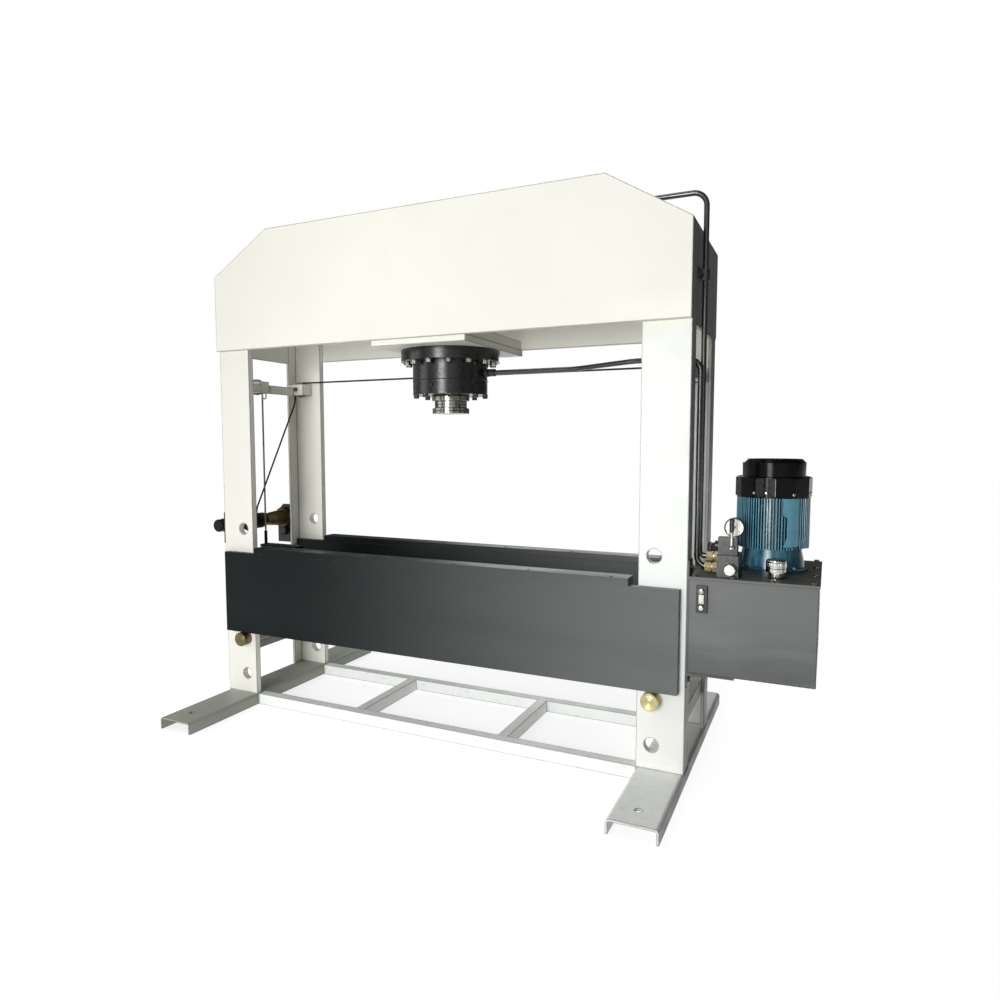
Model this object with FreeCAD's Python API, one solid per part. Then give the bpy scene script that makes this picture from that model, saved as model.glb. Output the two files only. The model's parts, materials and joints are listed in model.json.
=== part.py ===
"""Wide-gantry hydraulic press: welded frame, fixed cylinder, pin-held bed, rope hoist, power pack.

Millimetres.  +X to the right along the frame, +Y to the back, +Z up.
The origin is on the floor, under the axis of the ram, half-way through the frame's depth.
"""
import FreeCAD, Part
import math
import os

V = FreeCAD.Vector
X_DIR = V(1, 0, 0)
Y_DIR = V(0, 1, 0)
Z_DIR = V(0, 0, 1)

# ---------------------------------------------------------------- driving dimensions
# frame
frame_width = 2000.0            # over the uprights
frame_depth = 490.0             # over the outer faces of the upright webs
frame_height = 2015.0
upright_width = 160.0
web_thickness = 25.0
flange_depth = 75.0             # outer flange of an upright, measured from the web's outer face
flange_thickness = 12.0
foot_length = 1220.0
foot_height = 48.0
foot_wall = 8.0
foot_bend_radius = 14.0
anchor_hole_diameter = 24.0
anchor_hole_inset = 85.0        # hole centre from the end of a foot
rail_leg = 40.0                 # flat leg of the base angles
rail_wall = 6.0
front_rail_setback = 5.0
cross_member_offset = 324.0     # centre line of a cross member from the middle
tie_leg = 50.0
tie_bottom_height = 190.0
# pin holes
pin_hole_count = 5
pin_hole_pitch = 160.0
pin_hole_first_height = 133.0
pin_hole_inset = 108.0          # hole centre from the outside of the upright
pin_hole_level = 1              # the hole that carries the bed, counted from 0
pin_diameter = 48.0
pin_hole_clearance = 0.7        # radial
pin_collar_diameter = 60.0
pin_groove_width = 4.0
pin_head_length = 10.0
pin_tail = 10.0                 # beyond the rear web
pin_collar_gap = 1.0            # between the collar and the front web
pin_head_chamfer = 2.0
pin_tail_chamfer = 4.0
# top beam
beam_height = 480.0
beam_plate_thickness = 18.0
beam_chamfer_width = 285.0
beam_chamfer_height = 170.0
end_plate_thickness = 12.0
end_plate_drop = 10.0           # below the bottom of the beam
cylinder_plate_width = 406.0
lower_plate_thickness = 24.0
upper_plate_thickness = 37.0
plate_bore_clearance = 1.0      # round the cylinder, radial
# cylinder
cylinder_bore = 220.0
barrel_diameter = 264.0         # inside the beam
body_diameter = 304.0           # below the flange
body_length = 75.0
mount_flange_diameter = 398.0
mount_flange_thickness = 45.0
gland_thickness = 56.0
gland_spigot = 20.0
piston_thickness = 90.0
ram_stroke = 245.0
oil_space = 30.0
cylinder_cap_thickness = 30.0
rod_diameter = 130.0
seal_clearance = 0.1            # rod in gland and piston in bore, radial
rod_reach = 6.0                # rod end below the gland with the ram up
nose_diameter = 149.0
nose_thickness = 21.0
nose_neck_diameter = 130.0
nose_neck_length = 30.0
nose_collar_diameter = 152.0    # against the rod's end
nose_collar_thickness = 16.0
nose_spigot_diameter = 60.0
nose_spigot_length = 30.0
flange_bolt_count = 14
flange_bolt_circle = 352.0
flange_bolt_shank = 14.0
flange_bolt_head = 22.0         # across flats
flange_bolt_head_height = 14.0
gland_bolt_count = 8
gland_bolt_circle = 278.0
gland_bolt_shank = 12.0
gland_bolt_head = 18.0
gland_bolt_head_height = 12.0
gland_bolt_phase = 28.0         # degrees from the front towards the right
gland_bolt_grip = 30.0          # thread in the barrel
bolt_hole_clearance = 0.5
# bed
bed_end_inset = 21.0            # end of a bed plate from the side of the frame
bed_plate_thickness = 25.0
bed_plate_height = 348.0
bed_web_gap = 2.0               # between a bed plate and the web it slides along
pin_rest_gap = 0.3              # between a bed plate and the pin it rests on
guide_bar_height = 25.0
guide_bar_depth = 72.0
guide_bar_end_gap = 28.0        # from the inner edge of an upright
spacer_thickness = 20.0
spacer_height = 240.0
spacer_inset = 20.0             # end spacer from the end of a guide bar
spacer_drop = 90.0              # below the top of the bed
inner_spacer_offset = 270.0
bar_screw_count = 6
bar_screw_diameter = 16.0
bar_screw_head_height = 6.0
bar_screw_end = 60.0            # first screw from the end of a bar
bar_screw_sink = 1.0            # head below the bar's top
lug_width = 50.0
lug_thickness = 12.0
socket_diameter = 14.0          # swaged rope end on a lug
socket_height = 60.0
lug_height = 5.0                # top of a lug above the bed plates
# hoist
rope_diameter = 8.0
rope_gap = 0.3                  # between the rope and what turns under it
rope_spacing = 9.5              # between neighbouring ropes on the drum, centre to centre
rope_count = 2                  # ropes wound side by side
rope_turns = 4                  # of each rope
pulley_pitch_radius = 31.0
pulley_rim = 5.0                # rim beyond the rope's centre line
pulley_width = 14.0
groove_flare = 1.0              # each side, at the rim
pulley_side_gap = 3.0           # between a rim and the end of its cheeks
pulley_axle_diameter = 12.0
axle_clearance = 0.1            # radial
axle_head_diameter = 20.0
axle_head_length = 8.0
axle_nut = 18.0                 # across flats
axle_spot = 2.0                 # room round an axle's head and nut
pulley_drop = 135.0             # all three axles below the bottom of the beam
rope_fall_inset = 40.0          # pulley beams and the right hanging rope from the side of the frame
left_fall_inset = 30.0          # the left hanging rope
front_rope_y = -30.0
rear_rope_y = 180.0
cross_rope_easing = 60.0        # from the corners of the slanting run to the drum and the pulley
pulley_beam_thickness = 30.0
pulley_beam_drop = 29.0         # bottom of the bars below the axles
pulley_beam_height = 37.0
cheek_thickness = 8.0
cheek_gap = 40.0                # between the cheeks that hold a pulley
cheek_height = 53.0
keeper_wire = 6.0
keeper_width = 22.0
keeper_drop = 25.0
keeper_bend = 10.0
drum_diameter = 56.0
drum_height = 775.0             # axis above the floor
drum_shaft_diameter = 30.0
drum_flange_diameter = 84.0
drum_flange_thickness = 8.0
drum_flange_margin = 4.0        # between the front flange and the first rope
drum_bare_margin = 6.0          # between the last turn and the cone
drum_cone_diameter = 72.0
drum_cone_length = 78.0
gear_plate_gap = 2.0            # between the gear and its bracket plate
shaft_clearance = 0.1           # radial, hoist shafts in their brackets
hoist_plate = 8.0
hoist_rear_plate_width = 88.0
hoist_front_plate_reach = 40.0  # beyond the side of the frame
hoist_boss_diameter = 60.0      # round the drum's shaft
hoist_plate_corner = 34.0       # cut off at the top outer corner
hoist_plate_top = 65.0          # above the drum's axis
hoist_front_plate_drop = 70.0
hoist_rear_plate_drop = 125.0
hoist_front_setback = 50.0      # bracket plate from the front of the frame
hoist_rear_setback = 40.0
foot_plate_inset = 2.0          # bracket feet from the corners of the frame
hub_diameter = 56.0
hub_length = 32.0
hub_chamfer = 5.0
shaft_end_play = 1.0            # between the hub and its bracket plate
shaft_overhang = 6.0            # beyond the rear plate
gear_module = 4.0
gear_teeth = 23
pinion_teeth = 10
gear_face = 18.0
gear_addendum = 0.9             # of the module
gear_dedendum = 1.25            # of the module
tooth_root_width = 1.7          # of the width at the pitch circle, as an angle
tooth_tip_width = 0.45
gear_backlash = 0.8             # along the pitch circle
gear_phase = 0.25               # share of a tooth by which the drum's gear is turned
crank_shaft_diameter = 20.0
crank_gap = 16.0                # arm behind the frame
crank_arm_length = 160.0
crank_arm_width = 26.0
crank_arm_thickness = 10.0
crank_hub_diameter = 40.0
grip_diameter = 28.0
grip_length = 105.0
# power pack
tank_width = 383.0
tank_depth = 490.0
tank_bottom_height = 398.0
tank_height = 309.0
tank_wall = 4.0
tank_rim = 30.0                 # folded inwards under the lid
lid_thickness = 8.0
lid_overhang = 4.0
bracket_thickness = 6.0
bracket_width = 60.0
bracket_reach = 150.0           # leg under the tank
bracket_leg = 8.0
bracket_above = 50.0            # above the tank's lid
bracket_below = 55.0            # below the tank
pack_bolt_shank = 10.0
pack_bolt_head = 17.0
pack_bolt_head_height = 7.0
pack_bolt_length = 16.0
pack_washer_diameter = 21.0
pack_washer_thickness = 1.5
lid_bolt_inset = 14.0
lid_hole_clearance = 1.0        # round what hangs through the lid, radial
gauge_glass_width = 34.0
gauge_glass_height = 88.0
gauge_glass_thickness = 12.0
gauge_window_width = 17.0
gauge_window_depth = 3.0
gauge_boss_diameter = 21.0
gauge_boss_height = 4.0
gauge_glass_x = 47.0            # centre from the outside of the frame
gauge_glass_drop = 62.0         # centre below the top of the tank
motor_x = 235.0                 # axis from the outside of the frame
motor_y = 20.0
motor_flange_diameter = 228.0
motor_flange_thickness = 14.0
motor_neck_height = 65.0
motor_neck_diameter = 188.0
motor_body_height = 169.0
motor_core_diameter = 206.0
fin_diameter = 234.0
fin_count = 40
fin_thickness = 4.0
motor_pad_angle = 58.0          # degrees from the front towards the right
motor_pad_width = 62.0
terminal_box_width = 100.0
terminal_box_height = 84.0
terminal_box_depth = 52.0
cowl_diameter = 236.0
cowl_height = 67.0
cowl_top_diameter = 202.0
cowl_top_height = 60.0
cowl_chamfer = 12.0
cowl_wall = 3.0
cowl_slot_count = 16
cowl_slot_width = 5.0
cowl_slot_margin = 8.0          # from the chamfer
cowl_slot_start = 26.0          # radius
cowl_lug_count = 4
cowl_lug_width = 16.0
cowl_lug_height = 8.0
cowl_lug_root = 4.0             # of a lug inside the housing's outline
rotor_diameter = 120.0
motor_shaft_diameter = 28.0
motor_air_gap = 1.0
motor_end_wall = 12.0           # of the housing, above and below the rotor
rotor_end_gap = 2.0
neck_flare = 12.0               # neck at the flange, radial
fin_root = 3.0                  # of a fin inside the housing
motor_pad_step = 2.0            # pad below the fins' tips
terminal_gland_diameter = 22.0
terminal_gland_length = 18.0
terminal_gland_height = 20.0    # above the bottom of the box
fan_hub_diameter = 60.0
fan_hub_height = 30.0           # above the housing
fan_blade_count = 6
fan_blade_thickness = 3.0
fan_gap = 12.0                  # below the step of the cowl
pump_width = 84.0
pump_depth = 96.0
pump_height = 110.0
bell_diameter = 150.0
bell_length = 90.0
bell_wall = 8.0
coupling_diameter = 56.0
coupling_bottom = 60.0          # below the lid's top
coupling_top = 10.0
suction_diameter = 26.0
suction_floor_gap = 25.0
block_width = 66.0
block_depth = 110.0
block_height = 70.0
block_x = 87.0                  # left face from the outside of the frame
block_y = -220.0                # front face
lever_valve_width = 60.0
lever_valve_depth = 38.0
lever_valve_height = 56.0
lever_valve_cap_diameter = 30.0
lever_valve_cap_length = 10.0
lever_diameter = 7.0
lever_length = 88.0
lever_grip_diameter = 15.0
lever_grip_length = 44.0
lever_grip_radius = 5.0         # at both ends
lever_boss_diameter = 16.0
lever_boss_length = 12.0
lever_boss_gap = 2.0            # between the boss and its neighbours
lever_clearance = 0.1           # radial, boss on its trunnion
trunnion_diameter = 8.0
lever_pivot_x = 43.0            # from the left face of the block
lever_pivot_height = 25.0       # above the block
knob_diameter = 36.0
knob_length = 24.0
knob_stem_diameter = 14.0
knob_collar_diameter = 40.0     # on the block, behind the knob
knob_collar_thickness = 4.0
knob_gap = 6.0
knob_edge_radius = 4.0
knob_x = 43.0                   # from the left face of the block
knob_height = 28.0              # above the lid
pressure_gauge_diameter = 63.0
pressure_gauge_thickness = 28.0
pressure_gauge_height = 85.0    # centre above the block
pressure_gauge_stem = 14.0
stem_nut = 21.0                 # across flats
stem_nut_height = 14.0
gauge_x = 45.0                  # from the left face of the block
gauge_setback = 68.0            # from the front of the block
gauge_rim = 3.0
dial_depth = 6.0
dial_sweep = 270.0              # degrees
spindle_diameter = 3.0
spindle_clearance = 0.1
needle_gap = 0.3                # in front of the dial
needle_length = 22.0
needle_width = 2.4
needle_thickness = 0.8
needle_hub_diameter = 8.0
filler_x = 262.0
filler_y = -165.0
filler_diameter = 62.0
filler_height = 60.0
filler_neck_diameter = 36.0
filler_neck_height = 22.0
filler_plug_diameter = 30.0
filler_edge_radius = 4.0
filter_x = 64.0
filter_y = -8.0
filter_diameter = 62.0
filter_height = 82.0
filter_spigot_diameter = 45.0
filter_flange_width = 4.0
filter_flange_height = 10.0
filter_top_chamfer = 10.0
# pipes
pipe_diameter = 18.0
port_diameter = 12.0
pipe_bend_radius = 45.0
pipe_end_bend_radius = 34.0
upper_end_bend_radius = 17.0
lower_pipe_sweep = 135.0        # radius of its two wide bends
lower_pipe_slant = 270.0        # length of its slanting run along X
lower_pipe_side_inset = 200.0   # end of the slanting run from the side of the frame
fitting_length = 46.0
fitting_hex = 30.0
fitting_nut = 28.0
fitting_wall = 2.0              # of the stub round the pipe
fitting_shoulder = 4.0          # hexagon from the port's face
fitting_hex_length = 16.0
fitting_nut_length = 21.0
fitting_pitch_height = 30.0     # between the two fittings on the valve block
lower_fitting_height = 22.0     # above the lid
lower_port_height = 91.0        # below the cylinder plate
lower_pipe_x = 14.0             # from the outside of the frame
lower_pipe_y = -158.0
upper_pipe_x = 17.0
upper_pipe_y = -122.0
upper_pipe_height = 58.0        # below the top of the beam
upper_pipe_riser_x = 250.0      # from the middle
upper_pipe_riser_lean = 60.0    # over its height
clamp_drop = 325.0              # middle of the clamp below the top of the frame
clamp_length = 110.0
clamp_width = 36.0
clamp_thickness = 6.0
clamp_wall = 5.0
clamp_screw_head = 13.0
clamp_screw_height = 6.0
clamp_screw_inset = 14.0

# ---------------------------------------------------------------- places worked out from them
half_width = frame_width / 2
inner_edge = half_width - upright_width
front_y = -frame_depth / 2
rear_y = frame_depth / 2
front_web_back = front_y + web_thickness
rear_web_front = rear_y - web_thickness
flange_inner_x = half_width - flange_thickness
beam_bottom = frame_height - beam_height
chamfer_bottom = frame_height - beam_chamfer_height
pin_x = half_width - pin_hole_inset
pin_z = pin_hole_first_height + pin_hole_level * pin_hole_pitch
plate_bottom = beam_bottom - lower_plate_thickness
mount_flange_bottom = plate_bottom - mount_flange_thickness
body_bottom = mount_flange_bottom - body_length
gland_bottom = body_bottom - gland_thickness
piston_bottom = body_bottom + gland_spigot + ram_stroke
piston_top = piston_bottom + piston_thickness
bore_top = piston_top + oil_space
rod_end = gland_bottom - rod_reach
bed_top = pin_z + pin_collar_diameter / 2 + pin_rest_gap + bed_plate_height
bed_front_back = front_y - bed_web_gap
bed_front_front = bed_front_back - bed_plate_thickness
bed_rear_back = rear_web_front - bed_web_gap
bed_rear_front = bed_rear_back - bed_plate_thickness
bed_half_length = half_width - bed_end_inset
bar_half_length = inner_edge - guide_bar_end_gap
end_spacer_x = bar_half_length - spacer_inset
pulley_height = frame_height - beam_height - pulley_drop
pulley_beam_bottom = pulley_height - pulley_beam_drop
rope_fall_offset = half_width - rope_fall_inset
rope_radius = rope_diameter / 2
winding_radius = drum_diameter / 2 + rope_radius + rope_gap
left_fall_x = left_fall_inset - half_width
front_pulley_x = left_fall_x - pulley_pitch_radius
drum_x = front_pulley_x - pulley_pitch_radius - winding_radius
rear_pulley_x = rope_fall_offset - pulley_pitch_radius
cross_rope_y = front_rope_y + rope_spacing
turn_pitch = rope_count * rope_spacing
hoist_front_y = front_y + hoist_front_setback
hoist_rear_y = rear_y - hoist_rear_setback
gear_radius = gear_module * gear_teeth / 2
pinion_radius = gear_module * pinion_teeth / 2
pinion_z = drum_height - gear_radius - pinion_radius
gear_back_y = hoist_rear_y - gear_plate_gap
lug_top = bed_top + lug_height
socket_top = lug_top + socket_height
tank_x = half_width + bracket_thickness
tank_top = tank_bottom_height + tank_height
lid_top = tank_top + lid_thickness
motor_axis_x = half_width + motor_x
motor_body_bottom = lid_top + motor_flange_thickness + motor_neck_height
motor_body_top = motor_body_bottom + motor_body_height
block_left = half_width + block_x
block_top = lid_top + block_height
lower_fitting_z = lid_top + lower_fitting_height
upper_fitting_z = lower_fitting_z + fitting_pitch_height
lower_port_z = plate_bottom - lower_port_height
upper_port_z = bore_top - oil_space / 2
upper_pipe_z = frame_height - upper_pipe_height
lower_pipe_side_x = half_width - lower_pipe_side_inset
lower_pipe_turn_x = lower_pipe_side_x - lower_pipe_slant
clamp_height = frame_height - clamp_drop

nodes = {}


# ---------------------------------------------------------------- basic shapes
def box(x0, x1, y0, y1, z0, z1):
    return Part.makeBox(x1 - x0, y1 - y0, z1 - z0, V(x0, y0, z0))


def cylinder(radius, start, direction, length):
    return Part.makeCylinder(radius, length, start, direction)


def hexagon(across_flats, start, direction, length):
    """Hexagonal prism whose axis starts at start."""
    corner = across_flats / math.sqrt(3)
    side_1 = direction.cross(Z_DIR if abs(direction.z) < 0.5 else X_DIR)
    side_2 = direction.cross(side_1)
    points = []
    for step in range(7):
        angle = math.radians(60 * step)
        points.append(start + side_1 * (corner * math.cos(angle)) + side_2 * (corner * math.sin(angle)))
    return Part.Face(Part.makePolygon(points)).extrude(direction * length)


def plate_xz(points, y0, y1):
    """Plate or bar along Y from an outline in the XZ plane."""
    outline = [V(x, y0, z) for x, z in points]
    return Part.Face(Part.makePolygon(outline + outline[:1])).extrude(V(0, y1 - y0, 0))


def profile_along_x(points, x0, x1):
    """Bar from a section in the YZ plane."""
    outline = [V(x0, y, z) for y, z in points]
    return Part.Face(Part.makePolygon(outline + outline[:1])).extrude(V(x1 - x0, 0, 0))


def turned(points, base, direction=Z_DIR):
    """Solid of revolution: points are (radius, height) pairs along direction from base."""
    side = direction.cross(Y_DIR if abs(direction.y) < 0.5 else X_DIR)
    outline = [base + side * radius + direction * height for radius, height in points]
    face = Part.Face(Part.makePolygon(outline + outline[:1]))
    return face.revolve(base, direction, 360)


def mirrored_x(shape):
    return shape.mirror(V(0, 0, 0), X_DIR)


def around(angle, radius, centre):
    """Point on a level circle; the angle runs from the front towards the right."""
    turn = math.radians(angle)
    return centre + V(radius * math.sin(turn), -radius * math.cos(turn), 0)


def union(shapes):
    return shapes[0].multiFuse(shapes[1:]).removeSplitter()


def group(shapes):
    return Part.makeCompound(shapes)


# ---------------------------------------------------------------- tubes and ropes
def bent_path(points, radii):
    """Edges of straight runs joined by tangent arcs; radii belong to the inner points."""
    edges = []
    run_start = points[0]
    for before, corner, after, radius in zip(points, points[1:], points[2:], radii):
        towards = (corner - before).normalize()
        away = (after - corner).normalize()
        turn = towards.getAngle(away)
        reach = radius * math.tan(turn / 2)
        arc_start = corner - towards * reach
        arc_end = corner + away * reach
        inward = (away - towards).normalize()
        arc_middle = corner + inward * (radius / math.cos(turn / 2) - radius)
        if (arc_start - run_start).Length > 0.01:
            edges.append(Part.LineSegment(run_start, arc_start).toShape())
        edges.append(Part.Arc(arc_start, arc_middle, arc_end).toShape())
        run_start = arc_end
    if (points[-1] - run_start).Length > 0.01:
        edges.append(Part.LineSegment(run_start, points[-1]).toShape())
    return edges


def arc_from(start, tangent, end):
    """Circular arc that leaves start along tangent and ends at end."""
    chord = end - start
    along = V(chord).normalize()
    half_turn = tangent.getAngle(along)
    sideways = (tangent - along * tangent.dot(along)).normalize()
    middle = start + chord * 0.5 + sideways * (chord.Length / 2 * math.tan(half_turn / 2))
    return Part.Arc(start, middle, end).toShape()


def biarc(start, start_tangent, end, end_tangent):
    """Two arcs that join two points and keep both tangents."""
    span = end - start
    sum_of_tangents = start_tangent + end_tangent
    bend = 2 * (1 - start_tangent.dot(end_tangent))
    along = span.dot(sum_of_tangents)
    reach = (-along + math.sqrt(along * along + bend * span.dot(span))) / bend
    middle = (start + end + (start_tangent - end_tangent) * reach) * 0.5
    middle_tangent = (end - start - (start_tangent + end_tangent) * reach).normalize()
    return [arc_from(start, start_tangent, middle), arc_from(middle, middle_tangent, end)]


def tube(edges, diameter):
    """Solid tube of round section along a chain of tangent edges."""
    wire = Part.Wire(edges)
    start = edges[0].valueAt(edges[0].FirstParameter)
    tangent = edges[0].tangentAt(edges[0].FirstParameter)
    section = Part.Wire(Part.Circle(start, tangent, diameter / 2).toShape())
    return wire.makePipeShell([section], True, False)


def drum_winding(leave_y):
    """Biarcs of one rope's turns, from behind to where it goes up on the drum's inner side."""
    def place(angle):
        return V(drum_x + winding_radius * math.cos(angle),
                 leave_y - turn_pitch * angle / (2 * math.pi),
                 drum_height + winding_radius * math.sin(angle))

    def heading(angle):
        return V(-winding_radius * math.sin(angle), -turn_pitch / (2 * math.pi),
                 winding_radius * math.cos(angle)).normalize()

    half_turns = 2 * rope_turns
    angles = [math.pi * (step - half_turns) for step in range(half_turns + 1)]
    headings = [heading(angle) for angle in angles[:-1]] + [V(Z_DIR)]
    edges = [Part.LineSegment(place(angles[0]) - headings[0] * rope_diameter, place(angles[0])).toShape()]
    for step in range(half_turns):
        edges += biarc(place(angles[step]), headings[step], place(angles[step + 1]), headings[step + 1])
    return edges


def least_gap(edges):
    """Least gap of a wound rope to itself, on points that lie more than half a turn apart."""
    points = []
    for edge in edges:
        count = max(2, int(edge.Length / 4))
        points += edge.discretize(count)[:-1]
    apart = int(math.pi * winding_radius / 4)
    gaps = []
    for index, point in enumerate(points):
        for other in points[index + apart:]:
            gaps.append(point.distanceToPoint(other) - rope_diameter)
    return min(gaps)


# ---------------------------------------------------------------- base
def make_foot(side):
    """Folded channel, open below, under one side's uprights."""
    outer = half_width
    inner = inner_edge
    half = foot_length / 2
    shell = box(inner, outer, -half, half, 0, foot_height)
    long_edges = [edge for edge in shell.Edges
                  if edge.BoundBox.YLength > half and edge.BoundBox.ZMin > foot_height / 2]
    shell = shell.makeFillet(foot_bend_radius, long_edges)
    inside = box(inner + foot_wall, outer - foot_wall, -half, half, 0, foot_height - foot_wall)
    inside_edges = [edge for edge in inside.Edges
                    if edge.BoundBox.YLength > half and edge.BoundBox.ZMin > foot_height / 2]
    inside = inside.makeFillet(foot_bend_radius - foot_wall, inside_edges)
    foot = shell.cut(inside)
    for end in (-1, 1):
        centre = V((inner + outer) / 2, end * (half - anchor_hole_inset), 0)
        foot = foot.cut(cylinder(anchor_hole_diameter / 2, centre, Z_DIR, foot_height))
    return foot if side > 0 else mirrored_x(foot)


def make_base_angles():
    """Two rails and two cross members between the feet, and a tie on each side."""
    rail_section = [(0, 0), (rail_wall, 0), (rail_wall, foot_height - rail_wall),
                    (rail_leg, foot_height - rail_wall), (rail_leg, foot_height), (0, foot_height)]
    front_edge = front_y + front_rail_setback
    rear_edge = rear_y - rail_leg
    pieces = []
    for edge in (front_edge, rear_edge):
        section = [(edge + y, z) for y, z in rail_section]
        pieces.append(profile_along_x(section, -inner_edge, inner_edge))
    for middle in (-cross_member_offset, cross_member_offset):
        section = [(middle + rail_leg / 2 - depth, z) for depth, z in rail_section]
        pieces.append(plate_xz(section, front_edge + rail_leg, rear_edge))
    tie_section = [(0, 0), (rail_wall, 0), (rail_wall, tie_leg - rail_wall), (tie_leg, tie_leg - rail_wall),
                   (tie_leg, tie_leg), (0, tie_leg)]
    for side in (-1, 1):
        section = [(side * (flange_inner_x - depth), tie_bottom_height + z) for depth, z in tie_section]
        pieces.append(plate_xz(section, front_web_back, rear_web_front))
    return group(pieces)


# ---------------------------------------------------------------- uprights and beam
def make_upright(side, at_rear):
    """Web across the front or back with its outer flange and the row of pin holes.

    The right ones also take the bolts of the power pack.
    """
    outer_face = rear_y if at_rear else front_y
    inward = -1 if at_rear else 1
    web_ys = sorted((outer_face, outer_face + inward * web_thickness))
    flange_ys = sorted((outer_face, outer_face + inward * flange_depth))
    top = chamfer_bottom
    web = box(inner_edge, half_width, web_ys[0], web_ys[1], foot_height, top)
    flange = box(flange_inner_x, half_width, flange_ys[0], flange_ys[1], foot_height, top)
    upright = union([web, flange])
    for level in range(pin_hole_count):
        centre = V(pin_x, front_y - 1, pin_hole_first_height + level * pin_hole_pitch)
        hole = cylinder(pin_diameter / 2 + pin_hole_clearance, centre, Y_DIR, frame_depth + 2)
        upright = upright.cut(hole)
    if side < 0:
        return mirrored_x(upright)
    for place in bracket_bolt_places():
        upright = upright.cut(bolt_hole(place, -X_DIR, bracket_thickness + flange_thickness))
    return upright


def make_beam_plate(at_rear):
    low = half_width
    high = half_width - beam_chamfer_width
    outline = [(-low, beam_bottom), (low, beam_bottom), (low, chamfer_bottom), (high, frame_height),
               (-high, frame_height), (-low, chamfer_bottom)]
    y0 = rear_y if at_rear else front_y - beam_plate_thickness
    return plate_xz(outline, y0, y0 + beam_plate_thickness)


def make_beam_end_plates():
    reach = rear_y - flange_depth
    right = box(half_width - end_plate_thickness, half_width, -reach, reach,
                beam_bottom - end_plate_drop, chamfer_bottom)
    return group([right, mirrored_x(right)])


def make_lower_plate():
    half = cylinder_plate_width / 2
    reach = rear_y + beam_plate_thickness
    plate = box(-half, half, -reach, reach, plate_bottom, beam_bottom)
    plate = plate.cut(cylinder(barrel_diameter / 2 + plate_bore_clearance, V(0, 0, plate_bottom), Z_DIR,
                               lower_plate_thickness))
    for step in range(flange_bolt_count):
        centre = around(360 / flange_bolt_count * step, flange_bolt_circle / 2, V(0, 0, plate_bottom))
        hole = cylinder(flange_bolt_shank / 2 + bolt_hole_clearance, centre, Z_DIR, lower_plate_thickness)
        plate = plate.cut(hole)
    return plate


def make_upper_plate():
    half = cylinder_plate_width / 2
    plate = box(-half, half, front_y, rear_y, beam_bottom, beam_bottom + upper_plate_thickness)
    plate = plate.cut(cylinder(barrel_diameter / 2 + plate_bore_clearance, V(0, 0, beam_bottom), Z_DIR,
                               upper_plate_thickness))
    for step in range(flange_bolt_count):
        centre = around(360 / flange_bolt_count * step, flange_bolt_circle / 2, V(0, 0, beam_bottom))
        hole = cylinder(flange_bolt_shank / 2 + bolt_hole_clearance, centre, Z_DIR, upper_plate_thickness)
        plate = plate.cut(hole)
    return plate


# ---------------------------------------------------------------- cylinder
def make_barrel():
    """Closed barrel with its mounting flange; the bore is open at the gland end."""
    bore = cylinder_bore / 2
    top = bore_top + cylinder_cap_thickness
    outline = [(bore, body_bottom), (body_diameter / 2, body_bottom), (body_diameter / 2, mount_flange_bottom),
               (mount_flange_diameter / 2, mount_flange_bottom), (mount_flange_diameter / 2, plate_bottom),
               (barrel_diameter / 2, plate_bottom), (barrel_diameter / 2, top), (0, top),
               (0, bore_top), (bore, bore_top)]
    barrel = turned(outline, V(0, 0, 0))
    for step in range(flange_bolt_count):
        centre = around(360 / flange_bolt_count * step, flange_bolt_circle / 2, V(0, 0, mount_flange_bottom))
        hole = cylinder(flange_bolt_shank / 2 + bolt_hole_clearance, centre, Z_DIR, mount_flange_thickness)
        barrel = barrel.cut(hole)
    for step in range(gland_bolt_count):
        angle = gland_bolt_phase + 360 / gland_bolt_count * step
        centre = around(angle, gland_bolt_circle / 2, V(0, 0, body_bottom))
        barrel = barrel.cut(cylinder(gland_bolt_shank / 2, centre, Z_DIR, gland_bolt_grip))
    for height in (lower_port_z, upper_port_z):
        barrel = barrel.cut(cylinder(port_diameter / 2, V(0, 0, height), X_DIR, mount_flange_diameter))
    return barrel


def make_gland():
    inner = rod_diameter / 2 + seal_clearance
    outline = [(inner, gland_bottom), (body_diameter / 2, gland_bottom), (body_diameter / 2, body_bottom),
               (cylinder_bore / 2, body_bottom), (cylinder_bore / 2, body_bottom + gland_spigot),
               (inner, body_bottom + gland_spigot)]
    gland = turned(outline, V(0, 0, 0))
    for step in range(gland_bolt_count):
        angle = gland_bolt_phase + 360 / gland_bolt_count * step
        centre = around(angle, gland_bolt_circle / 2, V(0, 0, gland_bottom))
        hole = cylinder(gland_bolt_shank / 2 + bolt_hole_clearance, centre, Z_DIR, gland_thickness)
        gland = gland.cut(hole)
    return gland


def make_ram():
    """Piston and rod, turned from one forging, with a socket for the nose."""
    piston = cylinder_bore / 2 - seal_clearance
    rod = rod_diameter / 2
    socket = nose_spigot_diameter / 2
    outline = [(socket, rod_end), (rod, rod_end), (rod, piston_bottom), (piston, piston_bottom),
               (piston, piston_top), (0, piston_top), (0, rod_end + nose_spigot_length),
               (socket, rod_end + nose_spigot_length)]
    return turned(outline, V(0, 0, 0))


def make_nose():
    """Ring, neck and collar, with a spigot up into the rod."""
    ring = nose_diameter / 2
    neck = nose_neck_diameter / 2
    collar = nose_collar_diameter / 2
    spigot = nose_spigot_diameter / 2
    neck_top = rod_end - nose_collar_thickness
    ring_top = neck_top - nose_neck_length
    bottom = ring_top - nose_thickness
    outline = [(0, bottom), (ring, bottom), (ring, ring_top), (neck, ring_top), (neck, neck_top),
               (collar, neck_top), (collar, rod_end), (spigot, rod_end),
               (spigot, rod_end + nose_spigot_length), (0, rod_end + nose_spigot_length)]
    return turned(outline, V(0, 0, 0))


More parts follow.
